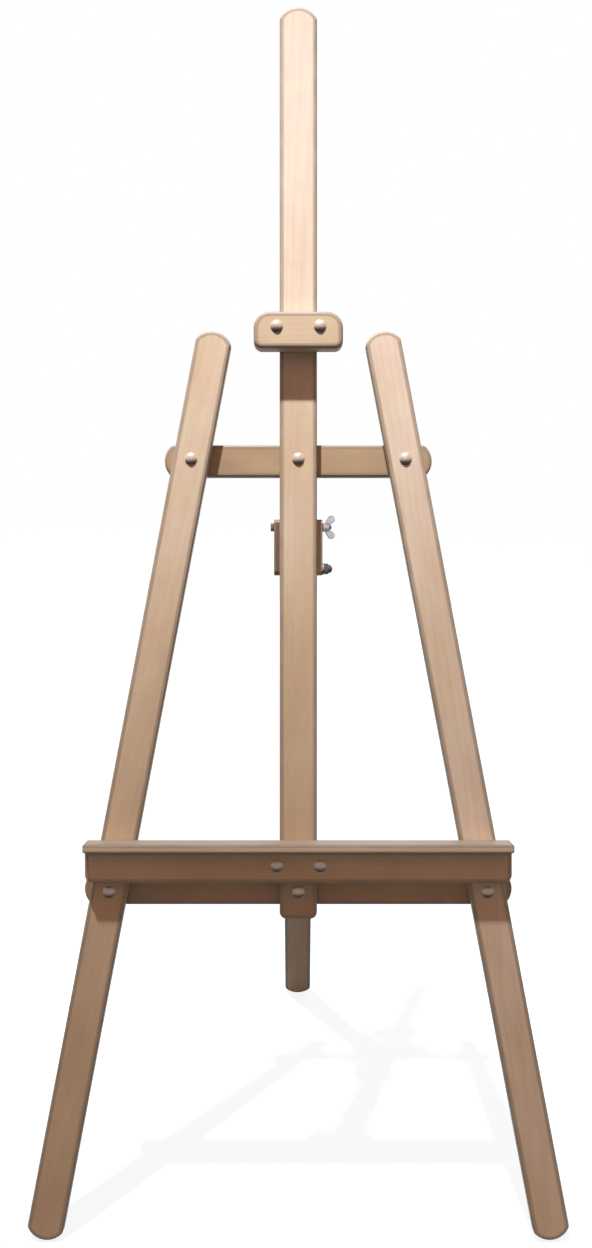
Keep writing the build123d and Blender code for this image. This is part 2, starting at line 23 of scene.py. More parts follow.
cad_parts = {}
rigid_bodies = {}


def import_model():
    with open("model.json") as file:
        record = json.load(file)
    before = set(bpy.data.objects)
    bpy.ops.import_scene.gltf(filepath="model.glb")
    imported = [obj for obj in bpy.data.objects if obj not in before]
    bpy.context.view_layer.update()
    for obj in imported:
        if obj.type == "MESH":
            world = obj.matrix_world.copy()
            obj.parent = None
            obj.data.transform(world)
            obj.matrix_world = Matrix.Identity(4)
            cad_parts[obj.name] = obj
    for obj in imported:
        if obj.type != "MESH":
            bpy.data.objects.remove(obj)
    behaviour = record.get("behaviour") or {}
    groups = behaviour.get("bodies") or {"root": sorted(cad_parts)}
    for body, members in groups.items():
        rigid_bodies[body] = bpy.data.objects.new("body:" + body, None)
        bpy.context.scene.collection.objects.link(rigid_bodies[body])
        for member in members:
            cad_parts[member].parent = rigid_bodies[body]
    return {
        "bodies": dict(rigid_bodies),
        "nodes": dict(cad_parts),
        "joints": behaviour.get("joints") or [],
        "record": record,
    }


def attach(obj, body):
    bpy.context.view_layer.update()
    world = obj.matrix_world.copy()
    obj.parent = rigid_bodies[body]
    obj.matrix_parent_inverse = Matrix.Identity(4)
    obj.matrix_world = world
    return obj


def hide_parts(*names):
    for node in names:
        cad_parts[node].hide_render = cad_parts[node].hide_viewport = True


log = logging.getLogger("easel")

MM = 0.001
RIGHT = Vector((1, 0, 0))
SAME_POINT = 0.001 * MM  # points of a node that are nearer than this are one
NO_SLOPE = 0.01  # a normal's component smaller than this counts as none

ARC_STEP = 5.0  # degrees between two points of an arc
SHARP_ANGLE = 38.0  # degrees above which an edge stays crisp
FLAT_FACES = 80  # of 100: how much broad faces rule the shading
CROWN_RADIUS = 28.0  # the arched ends of the mast and the legs
SHOULDER_RADIUS = 8.0  # and where they meet the boards' sides

ARRIS_STEPS = 6  # facets of a rounded edge
EDGE_BAND_PLATEAU = 0.45  # share of the edge band's reach over which it is nearly even
EDGE_BAND_WEAR_AND_SHADE = 0.85  # wear and painted shade there
ARRIS_WEAR_AND_SHADE = 0.9  # wear and painted shade where a rounded edge starts; it is 1 at its middle
# Millimetres from its tree's heart to a board's middle, across, along and in depth, and how far
# the board may run off the heart for each millimetre of its length, across and in depth.
HEART_SPANS = ((-60, 60), (0, 4000), (45, 110))
HEART_LEANS = (0.02, 0.03)

BOLT_BORE = 3.25  # radius of the holes for M6 bolts, in boards and washers
CHEEK_BOLT_BORE = 4.25  # and for the M8 bolt
PIN_BORE = 3.06  # where a nut or the rear leg turns on its bolt
BORE_REACH = 200.0  # half the length of a cutter
BORE_SIDES = 40  # points round a bore
OVERSHOOT = 1.0  # how far a countersink's cutter stands out of the board

SIDES = 48  # points round a fitting
DOME_ROWS = 10
THREAD_ROWS = 6  # rows in one turn of a thread
THREAD_DEPTH = 0.6  # as a share of its pitch
THREAD_FLANKS = 1.25  # above 1, so that the thread has a narrow crest
TIP_CHAMFER = 1.1  # how much narrower a bolt's tip is, as a share of its pitch
NUT_BEVEL = 0.577  # fall of a nut's chamfer for each millimetre outwards
NUT_FACE = 0.475  # radius of a nut's flat face, as a share of its width across the flats
NUT_CORNER = 0.565  # reach of its corners, which are a little blunted
ROUND_MIDDLE = 0.3  # how far in a rounding's middle is, as a share of its radius

Point = tuple[float, float]
Span = tuple[float, float]
Tone = tuple[float, float]
Row = Point | Callable[[float], Point]  # the radius and height of a row all round, or at an angle


class Side(Enum):
    """The easel's sides, as seen from the front."""

    LEFT = "left"
    RIGHT = "right"


class Level(Enum):
    """The crossbars' heights."""

    UPPER = "upper"
    LOWER = "lower"


class Way(Enum):
    """The way a fitting's head or nut points."""

    FORWARD = 0
    BACK = 1
    LEFT = 2
    RIGHT = 3


# ---------------------------------------------------------------- places
def axes(x: Vector, y: Vector, z: Vector) -> Matrix:
    """The matrix that turns the scene's directions to three others."""
    return Matrix((x, y, z)).transposed().to_4x4()


@dataclass(frozen=True)
class Place:
    """Where a piece is: its origin in metres and its own x and y directions."""

    origin: Vector
    x: Vector
    y: Vector

    @property
    def z(self) -> Vector:
        """The direction out of the piece's outline."""
        return self.x.cross(self.y)

    def at(self, x: float, y: float, z: float) -> "Place":
        """The same directions, from an origin that is so many millimetres along each of them."""
        return Place(self.origin + (self.x * x + self.y * y + self.z * z) * MM, self.x, self.y)

    def local(self, point: Vector) -> Vector:
        """A point of the scene, in this place's own millimetres."""
        return self.matrix().inverted() @ point

    def matrix(self) -> Matrix:
        """The matrix that takes millimetres of this place to metres of the scene."""
        return Matrix.Translation(self.origin) @ axes(self.x, self.y, self.z) @ Matrix.Scale(MM, 4)


@dataclass(frozen=True)
class Stock:
    """A solid as the frame holds it: the place of its middle and its size in millimetres."""

    place: Place
    width: float
    height: float
    thickness: float

    def foot(self) -> Place:
        """The place of the solid's lowest point along its own z."""
        return self.place.at(0, 0, -self.thickness / 2)

    @classmethod
    def around(cls, points: Sequence[Vector], x: Vector, y: Vector) -> "Stock":
        """Measures points along three directions.

        Args:
            points: the solid's points, in metres.
            x: the direction its width is measured along.
            y: the direction of its height, square to x.

        Returns:
            The box round the points, along x, y and the direction square to both.
        """
        directions = (x, y, x.cross(y))
        lows = [min(point.dot(direction) for point in points) for direction in directions]
        highs = [max(point.dot(direction) for point in points) for direction in directions]
        middle = Vector((0, 0, 0))
        for direction, low, high in zip(directions, lows, highs):
            middle += direction * (low + high) / 2
        width, height, thickness = ((high - low) / MM for low, high in zip(lows, highs))
        return cls(Place(middle, x, y), width, height, thickness)


class Frame:
    """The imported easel: its nodes, its hinge pin and the directions of its leaning front."""

    def __init__(self, loaded: dict) -> None:
        joints = {joint["name"]: joint for joint in loaded["joints"]}
        self.nodes = loaded["nodes"]
        self.pin = Vector(joints["rear_leg_swing"]["pos_m"])
        self.up = Vector(joints["clamp_slide"]["axis"]).normalized()
        self.forward = RIGHT.cross(self.up)

    def across(self, way: Way) -> tuple[Vector, Vector]:
        """The x and y directions of a fitting that points a way."""
        directions = {
            Way.FORWARD: (RIGHT, self.up),
            Way.BACK: (-RIGHT, self.up),
            Way.LEFT: (self.up, -self.forward),
            Way.RIGHT: (self.up, self.forward),
        }
        return directions[way]

    def stock(self, node: str, x: Vector = RIGHT, y: Vector | None = None) -> Stock:
        """One node's box along x and y, or along the leaning front where y is left out."""
        return Stock.around([vertex.co for vertex in self.nodes[node].data.vertices], x, y or self.up)

    def solids(self, node: str, way: Way = Way.FORWARD) -> list[Stock]:
        """The boxes of a node's separate solids, which point a way, from left to right and upwards."""
        mesh = bmesh.new()
        mesh.from_mesh(self.nodes[node].data)
        bmesh.ops.remove_doubles(mesh, verts=mesh.verts, dist=SAME_POINT)
        waiting = dict.fromkeys(mesh.verts)
        found = []
        while waiting:
            reached = [waiting.popitem()[0]]
            for vertex in reached:
                for edge in vertex.link_edges:
                    other = edge.other_vert(vertex)
                    if other in waiting:
                        del waiting[other]
                        reached.append(other)
            found.append(Stock.around([vertex.co for vertex in reached], *self.across(way)))
        mesh.free()
        return sorted(found, key=lambda stock: tuple(round(c, 4) for c in stock.place.origin))

    def broadest(self, node: str, square_to: Vector) -> Vector:
        """The direction that most of a node's surface faces, among those square to another.

        Args:
            node: the node's name.
            square_to: the direction that the counted faces' normals are square to.

        Returns:
            The unit normal of those faces, towards +X, or else towards -Y.
        """
        facing: dict[tuple[float, ...], Vector] = {}
        for polygon in self.nodes[node].data.polygons:
            normal = polygon.normal
            if abs(normal.dot(square_to)) > NO_SLOPE:
                continue
            towards = normal.x if abs(normal.x) > NO_SLOPE else -normal.y
            share = normal * polygon.area * (1 if towards > 0 else -1)
            key = tuple(round(c, 2) for c in share.normalized())
            facing[key] = facing.get(key, Vector((0, 0, 0))) + share
        return max(facing.values(), key=lambda share: share.length).normalized()

    def mast_top(self) -> Vector:
        """The top of the mast's front face, in metres."""
        mast = self.stock("mast")
        return mast.place.at(0, mast.height / 2, mast.thickness / 2).origin


# ---------------------------------------------------------------- outlines
def arc(centre: Point, radius: float, start: float, end: float) -> list[Vector]:
    """Points round an arc, no more than ARC_STEP apart.

    Args:
        centre: the arc's centre.
        radius: its radius.
        start: the angle of its first point, in degrees.
        end: the angle of its last point.

    Returns:
        The points, both ends included.
    """
    count = max(1, math.ceil(abs(end - start) / ARC_STEP))
    angles = [math.radians(start + (end - start) * step / count) for step in range(count + 1)]
    return [Vector((centre[0] + radius * math.cos(a), centre[1] + radius * math.sin(a))) for a in angles]


def filleted(corners: Sequence[tuple[float, float, float]]) -> list[Vector]:
    """Rounds the corners of a polygon.

    Args:
        corners: x, y and radius of each corner, anticlockwise.

    Returns:
        The outline's points; a corner of radius 0 stays sharp.
    """
    outline = []
    for index, (x, y, radius) in enumerate(corners):
        corner = Vector((x, y))
        if not radius:
            outline.append(corner)
            continue
        before = (Vector(corners[index - 1][:2]) - corner).normalized()
        after = (Vector(corners[(index + 1) % len(corners)][:2]) - corner).normalized()
        half = before.angle(after) / 2
        centre = corner + (before + after).normalized() * radius / math.sin(half)
        first = corner + before * radius / math.tan(half) - centre
        start = math.degrees(math.atan2(first.y, first.x))
        outline += arc(tuple(centre), radius, start, start + 180 - math.degrees(2 * half))
    return outline


def four_cornered(stock: Stock, foot_radius: float, top_radius: float) -> list[Vector]:
    """Outline of a board of a solid's size, with its lower and its upper corners rounded."""
    x, y = stock.width / 2, stock.height / 2
    return filleted([(x, -y, foot_radius), (x, y, top_radius), (-x, y, top_radius), (-x, -y, foot_radius)])


def arch(width: float, top: float) -> list[Vector]:
    """The arched upper end of a board, from its right side to its left, its crown as high as top."""
    inner = width / 2 - SHOULDER_RADIUS
    rise = math.sqrt((CROWN_RADIUS - SHOULDER_RADIUS) ** 2 - inner**2)
    centre = top - CROWN_RADIUS
    turn = math.degrees(math.atan2(rise, inner))
    right = arc((inner, centre + rise), SHOULDER_RADIUS, 0, turn)
    crown = arc((0, centre), CROWN_RADIUS, turn, 180 - turn)
    left = arc((-inner, centre + rise), SHOULDER_RADIUS, 180 - turn, 180)
    return right + crown[1:-1] + left


def arched(width: float, length: float) -> list[Vector]:
    """Outline of a board along Y with both ends arched."""
    top = arch(width, length / 2)
    return top + [-point for point in top]


def inset(outline: Sequence[Vector], amount: float) -> list[Vector]:
    """Moves each side of an anticlockwise outline inwards, and keeps the number of its points."""
    moved = []
    for index, point in enumerate(outline):
        before = (point - outline[index - 1]).normalized()
        after = (outline[(index + 1) % len(outline)] - point).normalized()
        side = Vector((-before.y, before.x))
        inwards = (side + Vector((-after.y, after.x))).normalized()
        moved.append(point + inwards * amount / inwards.dot(side))
    return moved


# ---------------------------------------------------------------- meshes
def skinned(mesh: BMesh, rows: Sequence[Sequence], hollow: bool = False) -> BMesh:
    """Joins rows of as many vertices with faces, each to the next.

    Args:
        mesh: the mesh that holds the vertices.
        rows: the closed rows, in order.
        hollow: True where the last row joins the first, round a bore; otherwise both ends close.

    Returns:
        The mesh itself, its faces turned outwards.
    """
    pairs = list(zip(rows, rows[1:]))
    if hollow:
        pairs.append((rows[-1], rows[0]))
    for first, second in pairs:
        for index in range(len(first)):
            after = (index + 1) % len(first)
            mesh.faces.new((first[index], first[after], second[after], second[index]))
    if not hollow:
        mesh.faces.new(rows[0])
        mesh.faces.new(rows[-1])
    bmesh.ops.recalc_face_normals(mesh, faces=mesh.faces)
    return mesh


def turned(rows: Sequence[Row], steps: int = SIDES, hollow: bool = False) -> BMesh:
    """Makes a round piece about Z.

    Args:
        rows: the rows of points, in order.
        steps: the number of points round each row.
        hollow: True for a piece round a bore.

    Returns:
        The piece's mesh.
    """
    mesh = bmesh.new()
    angles = [math.tau * step / steps for step in range(steps)]
    made = []
    for row in rows:
        places = [(angle, *(row(angle) if callable(row) else row)) for angle in angles]
        made.append([mesh.verts.new((r * math.cos(a), r * math.sin(a), z)) for a, r, z in places])
    return skinned(mesh, made, hollow)


def square_ring(width: float, height: float) -> Row:
    """A four-sided row."""
    return lambda angle: (width / 2 / max(abs(math.cos(angle)), abs(math.sin(angle))), height)


def hexagon_ring(across_flats: float, height: float, bevel: float = 0.0) -> Row:
    """A six-sided row; beyond a nut's face it rises by bevel for each millimetre."""

    def place(angle: float) -> Point:
        """The radius and height at an angle."""
        from_flat = (angle % (math.pi / 3)) - math.pi / 6
        reach = min(across_flats / 2 / math.cos(from_flat), NUT_CORNER * across_flats)
        return reach, height + bevel * (reach - NUT_FACE * across_flats)

    return place


def hexagon(across_flats: float, height: float) -> list[Row]:
    """The rows of a hexagon with both faces chamfered, standing on the XY plane."""
    face = NUT_FACE * across_flats
    foot, top = hexagon_ring(across_flats, 0, NUT_BEVEL), hexagon_ring(across_flats, height, -NUT_BEVEL)
    return [(face, 0), foot, top, (face, height)]


def transformed(mesh: BMesh, matrix: Matrix) -> BMesh:
    """The mesh itself, once moved by a matrix."""
    mesh.transform(matrix)
    return mesh


def shaded(mesh_data: bpy.types.Mesh) -> None:
    """Smooths a mesh's faces and keeps its crisp edges."""
    for polygon in mesh_data.polygons:
        polygon.use_smooth = True
    mesh_data.set_sharp_from_angle(angle=math.radians(SHARP_ANGLE))


def placed(name: str, data: bpy.types.ID, matrix: Matrix | None = None) -> Object:
    """Puts a mesh, a lamp or a camera in the scene, at its origin or where a matrix says."""
    item = bpy.data.objects.new(name, data)
    item.matrix_world = matrix or Matrix()
    bpy.context.scene.collection.objects.link(item)
    return item


def as_object(name: str, mesh: BMesh) -> Object:
    """Puts a bmesh in the scene under a name, and uses it up."""
    data = bpy.data.meshes.new(name)
    mesh.to_mesh(data)
    mesh.free()
    shaded(data)
    return placed(name, data)


def applied(piece: Object) -> None:
    """Makes what an object's modifiers show its own mesh, and removes them."""
    bpy.context.view_layer.update()
    depsgraph = bpy.context.evaluated_depsgraph_get()
    result = bpy.data.meshes.new_from_object(piece.evaluated_get(depsgraph), depsgraph=depsgraph)
    result.name = piece.data.name
    piece.modifiers.clear()
    piece.data = result


def joined(parts: Sequence[BMesh]) -> BMesh:
    """Puts several meshes into one, and uses them up."""
    whole = bmesh.new()
    for part in parts:
        data = bpy.data.meshes.new("part")
        part.to_mesh(data)
        part.free()
        whole.from_mesh(data)
        bpy.data.meshes.remove(data)
    return whole


def drilled(piece: Object, cutters: Sequence[BMesh]) -> None:
    """Cuts holes into an object.

    Args:
        piece: the object, in the same frame as the cutters.
        cutters: closed meshes that don't touch each other; they are used up.
    """
    if not cutters:
        return
    tool = as_object("cutter", joined(cutters))
    cut = piece.modifiers.new("bores", "BOOLEAN")
    cut.operation = "DIFFERENCE"
    cut.solver = "EXACT"
    cut.object = tool
    applied(piece)
    bpy.data.objects.remove(tool)


def weighted(piece: Object) -> None:
    """Lets broad faces rule the shading, so that they stay flat up to their rounded edges."""
    modifier = piece.modifiers.new("flat_faces", "WEIGHTED_NORMAL")
    modifier.keep_sharp = True
    modifier.weight = FLAT_FACES


# ---------------------------------------------------------------- materials
MULTIPLY = {"operation": "MULTIPLY"}
MULTIPLY_ADD = {"operation": "MULTIPLY_ADD"}
MAXIMUM = {"operation": "MAXIMUM"}
COLOURS = {"data_type": "RGBA"}
SOFT_NOISE = (0.35, 0.65)  # the values that a smooth noise mostly stays between
FINE_NOISE = (0.3, 0.7)  # and a detailed one
WHITE = "#FFFFFF"


def linear(hex_colour: str) -> tuple[float, float, float, float]:
    """Turns an sRGB hex colour to the linear one that Blender's sockets hold."""
    channels = [int(hex_colour[start : start + 2], 16) / 255 for start in (1, 3, 5)]
    red, green, blue = (c / 12.92 if c <= 0.04045 else ((c + 0.055) / 1.055) ** 2.4 for c in channels)
    return red, green, blue, 1.0


@dataclass
class NodeTree:
    """A node tree that is being built."""

    tree: bpy.types.NodeTree

    def add(self, kind: str, settings: dict | None = None, *values: object, **named: object) -> Node:
        """Adds a node.

        Args:
            kind: the node's type, without its ShaderNode prefix.
            settings: the properties to set on it.
            values: what its inputs in use take, in their order: a number or colour, an output,
                or a node, which stands for its first output in use.
            named: the same for inputs by name, with spaces written as underscores.

        Returns:
            The node.
        """
        node = self.tree.nodes.new("ShaderNode" + kind)
        for name, value in (settings or {}).items():
            setattr(node, name, value)
        taken = list(zip([socket for socket in node.inputs if socket.enabled], values))
        taken += [(node.inputs[name.replace("_", " ")], value) for name, value in named.items()]
        for socket, value in taken:
            if isinstance(value, Node):
                value = next(output for output in value.outputs if output.enabled)
            if isinstance(value, NodeSocket):
                self.tree.links.new(value, socket)
            else:
                socket.default_value = value
        return node


def new_material(name: str) -> tuple[Material, NodeTree]:
    """A material with nothing but its output node, and its tree."""
    material = bpy.data.materials.new(name)
    material.use_nodes = True
    material.node_tree.nodes.clear()
    return material, NodeTree(material.node_tree)


@dataclass(frozen=True)
class SandedPine:
    """Pine, planed, sanded fine and left without varnish.

    To the eye it is pale and matt, from cream sapwood to brown heartwood, with a faint pink or
    yellow cast that changes every few centimetres. Its rings show as faint darker lines along
    each board and its fibres as thin streaks. Edges are grey-brown, partly worn where sanding
    broke them and partly painted shade. Faces that look up are darkened by painted shade.
    """

    sapwood: str = "#EADED0"
    straw: str = "#D7C6AB"
    straw_tone: float = 0.24  # where straw lies between the palest tone, 0, and the darkest, 1
    heartwood: str = "#AE987C"
    heart_tone: float = 0.6
    # the darkest stop: heartwood, and on the left hinge cheek painted shade
    dark_heart_and_shade: str = "#6A5142"
    drift_length: float = 70.0  # millimetres over which the tone drifts
    drift_stretch: float = 0.4  # below 1, so that it drifts more slowly along the fibres
    drift_noise: Span = (0.32, 0.68)
    drift_reach: float = 0.17  # share of the way from palest to darkest that it drifts over
    yellow_cast: str = "#FFFCF4"
    pink_cast: str = "#FFF5F6"
    cast_length: float = 22.0  # millimetres over which its cast changes
    latewood: str = "#C39A74"
    ring_spacing: float = 4.2  # millimetres between growth rings
    ring_strength: float = 0.10
    late_starts: float = 0.15  # share of a ring where it starts to darken
    late_ends: float = 0.86  # and where it is darkest
    sway: float = 9.0  # millimetres by which the rings wander
    sway_length: float = 28.0
    sway_stretch: float = 0.04
    fibre_width: float = 1.6  # drawn about three times as wide as real streaks, so that they show
    fibre_stretch: float = 0.02
    fibre_shades: Span = (0.95, 1.05)
    end_grain: str = "#B08C68"
    end_cover: float = 0.6
    # grey-brown edges: partly wear, partly painted shade
    rubbed_edge: str = "#8F8171"
    rub_length: float = 30.0
    rub_cover: Span = (0.7, 0.85)
    # painted shade, laid on faces that look up
    top_shade: str = "#686664"
    top_shade_cover: float = 0.68
    top_shade_slopes: Span = (0.55, 0.9)  # the normal's height where the painted shade on faces that look up starts and is full
    roughness: float = 0.56
    roughness_spread: float = 0.07  # sanded fibres scatter light unevenly
    ring_relief: float = 0.35  # height of the rings, as a share of the fibres'
    relief: float = 0.25  # millimetres
    relief_strength: float = 0.12
    ior: float = 1.5

    def material(self) -> Material:
        """Builds the material, which reads a board's "grain", "edge", "end" and "tone" attributes."""
        material, tree = new_material("sanded_pine")
        grain = tree.add("Attribute", {"attribute_name": "grain"}).outputs["Vector"]
        edge, end, tone = (
            tree.add("Attribute", {"attribute_name": name}).outputs["Fac"] for name in ("edge", "end", "tone")
        )

        # growth rings: cylinders round the heart, which runs along the fibres, y
        drawn_out = tree.add("VectorMath", MULTIPLY, grain, (1, self.sway_stretch, 1))
        sway = tree.add("TexNoise", Vector=drawn_out, Scale=1 / self.sway_length, Detail=2.0)
        from_heart = tree.add("VectorMath", MULTIPLY, grain, (1, 0, 1))
        distance = tree.add("VectorMath", {"operation": "LENGTH"}, from_heart)
        swayed = tree.add("Math", MULTIPLY_ADD, sway, self.sway, distance)
        age = tree.add("Math", {"operation": "DIVIDE"}, swayed, self.ring_spacing)
        late = tree.add("ValToRGB", {}, tree.add("Math", {"operation": "FRACT"}, age))
        ramp = late.color_ramp
        ramp.interpolation = "EASE"
        ramp.elements[0].position = self.late_starts
        ramp.elements[1].position = self.late_ends
        ramp.elements.new(1.0)
        for element, shade in zip(ramp.elements, (0, 1, 0)):
            element.color = (shade, shade, shade, 1)

        # fibres: noise drawn out along the grain
        drawn_out = tree.add("VectorMath", MULTIPLY, grain, (1, self.fibre_stretch, 1))
        fibres = tree.add("TexNoise", Vector=drawn_out, Scale=1 / self.fibre_width, Detail=3.0, Roughness=0.6)

        # the tone drifts round the board's own, and its cast between yellow and pink
        drawn_out = tree.add("VectorMath", MULTIPLY, grain, (1, self.drift_stretch, 1))
        drift = tree.add("TexNoise", Vector=drawn_out, Scale=1 / self.drift_length, Detail=2.0)
        drift = tree.add("MapRange", {}, drift, *self.drift_noise)
        drifted = tree.add("Math", MULTIPLY_ADD, drift, self.drift_reach, tone)
        centred = tree.add("Math", {"operation": "SUBTRACT"}, drifted, self.drift_reach / 2)
        depth = tree.add("ValToRGB", {}, centred)
        depth.color_ramp.elements[0].color = linear(self.sapwood)
        depth.color_ramp.elements[1].color = linear(self.dark_heart_and_shade)
        depth.color_ramp.elements.new(self.straw_tone).color = linear(self.straw)
        depth.color_ramp.elements.new(self.heart_tone).color = linear(self.heartwood)
        patches = tree.add("TexNoise", Vector=grain, Scale=1 / self.cast_length, Detail=1.0)
        patch = tree.add("MapRange", {}, patches, *SOFT_NOISE)
        cast = tree.add("Mix", COLOURS, patch, linear(self.yellow_cast), linear(self.pink_cast))
        colour = tree.add("Mix", COLOURS | {"blend_type": "MULTIPLY"}, 1.0, depth, cast)

        # over it lie the rings and the fibres, then the ends' darker grain, edges darkened by wear and
        # painted shade and, on what faces up, painted shade
        ringed = tree.add("Math", MULTIPLY, late, self.ring_strength)
        colour = tree.add("Mix", COLOURS, ringed, colour, linear(self.latewood))
        streaks = tree.add("MapRange", {}, fibres, *FINE_NOISE, *self.fibre_shades)
        colour = tree.add("VectorMath", {"operation": "SCALE"}, colour, streaks)
        ends = tree.add("Math", MULTIPLY, end, self.end_cover)
        rub = tree.add("TexNoise", Vector=grain, Scale=1 / self.rub_length, Detail=1.0)
        rub = tree.add("MapRange", {}, rub, *SOFT_NOISE, *self.rub_cover)
        rubbed = tree.add("Math", MULTIPLY, rub, edge)
        facing = tree.add("SeparateXYZ", {}, tree.add("TexCoord").outputs["Normal"])
        top_shaded = tree.add("MapRange", {}, facing.outputs["Z"], *self.top_shade_slopes, 0.0, self.top_shade_cover)
        for share, tint in ((ends, self.end_grain), (rubbed, self.rubbed_edge), (top_shaded, self.top_shade)):
            colour = tree.add("Mix", COLOURS, share, colour, linear(tint))

        smooth, rough = self.roughness - self.roughness_spread, self.roughness + self.roughness_spread
        gloss = tree.add("MapRange", {}, fibres, *FINE_NOISE, smooth, rough)
        relief = tree.add("Math", MULTIPLY_ADD, late, self.ring_relief, fibres)
        bump = tree.add("Bump", Strength=self.relief_strength, Distance=self.relief * MM, Height=relief)
        surface = tree.add("BsdfPrincipled", Base_Color=colour, Roughness=gloss, IOR=self.ior, Normal=bump)
        tree.add("OutputMaterial", Surface=surface)
        return material


@dataclass(frozen=True)
class PlatedSteel:
    """Steel fittings with a metal coat: zinc, bright or dulled outdoors, or zinc blackened.

    The plate gives the eye a fairly sharp shine that is cloudy in patches a few millimetres
    wide. Where it faces down it is painted dark and brown, as painted shade and reflection.
    """

    name: str
    base: str
    worn: str
    # painted shade and reflection for faces that turn down
    painted_underside: str
    roughness: float
    shade_below: float = -0.12  # how far a face may turn down, as its normal's height, before its painted shade starts
    shade_fade: float = 0.4  # above that, up to where the painted shade has faded out
    bare: float = 1.0  # how much metal shows through the dull film that zinc grows outdoors
    cloud_size: float = 3.0  # millimetres
    cloud_gloss: Span = (-0.06, 0.08)  # what the clouds add to the roughness
    pit_size: float = 0.5  # millimetres
    pit_depth: float = 0.05
    pit_strength: float = 0.12

    def material(self) -> Material:
        """Builds the material, which reads the pieces' own positions."""
        material, tree = new_material(self.name)
        coordinates = tree.add("TexCoord")
        place = coordinates.outputs["Object"]
        clouds = tree.add(
            "TexNoise", Vector=place, Scale=1 / (self.cloud_size * MM), Detail=3.0, Roughness=0.6
        )
        pits = tree.add("TexNoise", Vector=place, Scale=1 / (self.pit_size * MM), Detail=2.0)
        share = tree.add("MapRange", {}, clouds, *SOFT_NOISE)
        colour = tree.add("Mix", COLOURS, share, linear(self.base), linear(self.worn))
        # painted shade and reflection: faces that turn down take the underside colour
        facing = tree.add("SeparateXYZ", {}, coordinates.outputs["Normal"])
        bright = self.shade_below + self.shade_fade
        above = tree.add("MapRange", {}, facing.outputs["Z"], self.shade_below, bright)
        colour = tree.add("Mix", COLOURS, above, linear(self.painted_underside), colour)
        glosses = [self.roughness + change for change in self.cloud_gloss]
        gloss = tree.add("MapRange", {}, clouds, *FINE_NOISE, *glosses)
        bump = tree.add("Bump", Strength=self.pit_strength, Distance=self.pit_depth * MM, Height=pits)
        surface = tree.add(
            "BsdfPrincipled", Base_Color=colour, Metallic=self.bare, Roughness=gloss, Normal=bump
        )
        tree.add("OutputMaterial", Surface=surface)
        return material


# the last colour of each is painted shade for faces that turn down
DULLED_ZINC = PlatedSteel("dulled_zinc_plate", "#C0AA98", "#D0BCAD", "#30241A", 0.34, -0.18, bare=0.24)
ZINC_CASTING = PlatedSteel("zinc_plated_casting", "#B9B6BB", "#E6E4E7", "#908C93", 0.34)
BLACKENED_STEEL = PlatedSteel("blackened_steel", "#544A4D", "#7A6F74", "#3A3031", 0.36)


class Finish(Enum):
    """The easel's finishes, each with its slot in the record and its look."""

    WOOD = ("wood", SandedPine())
    BOLTS = ("zinc_plated_steel", DULLED_ZINC)
    WING_NUTS = ("zinc_plated_steel", ZINC_CASTING)
    CHEEK_BOLT = ("blackened_steel", BLACKENED_STEEL)

    @property
    def slot(self) -> str:
        """The record's material slot."""
        return self.value[0]

    def material(self) -> Material:
        """Builds the material that gives the finish its look."""
        return self.value[1].material()


# ---------------------------------------------------------------- boards
class Fibres(Enum):
    """The way the wood's fibres run in a board's own frame: the number of that direction."""

    ALONG_X = 0
    ALONG_Y = 1


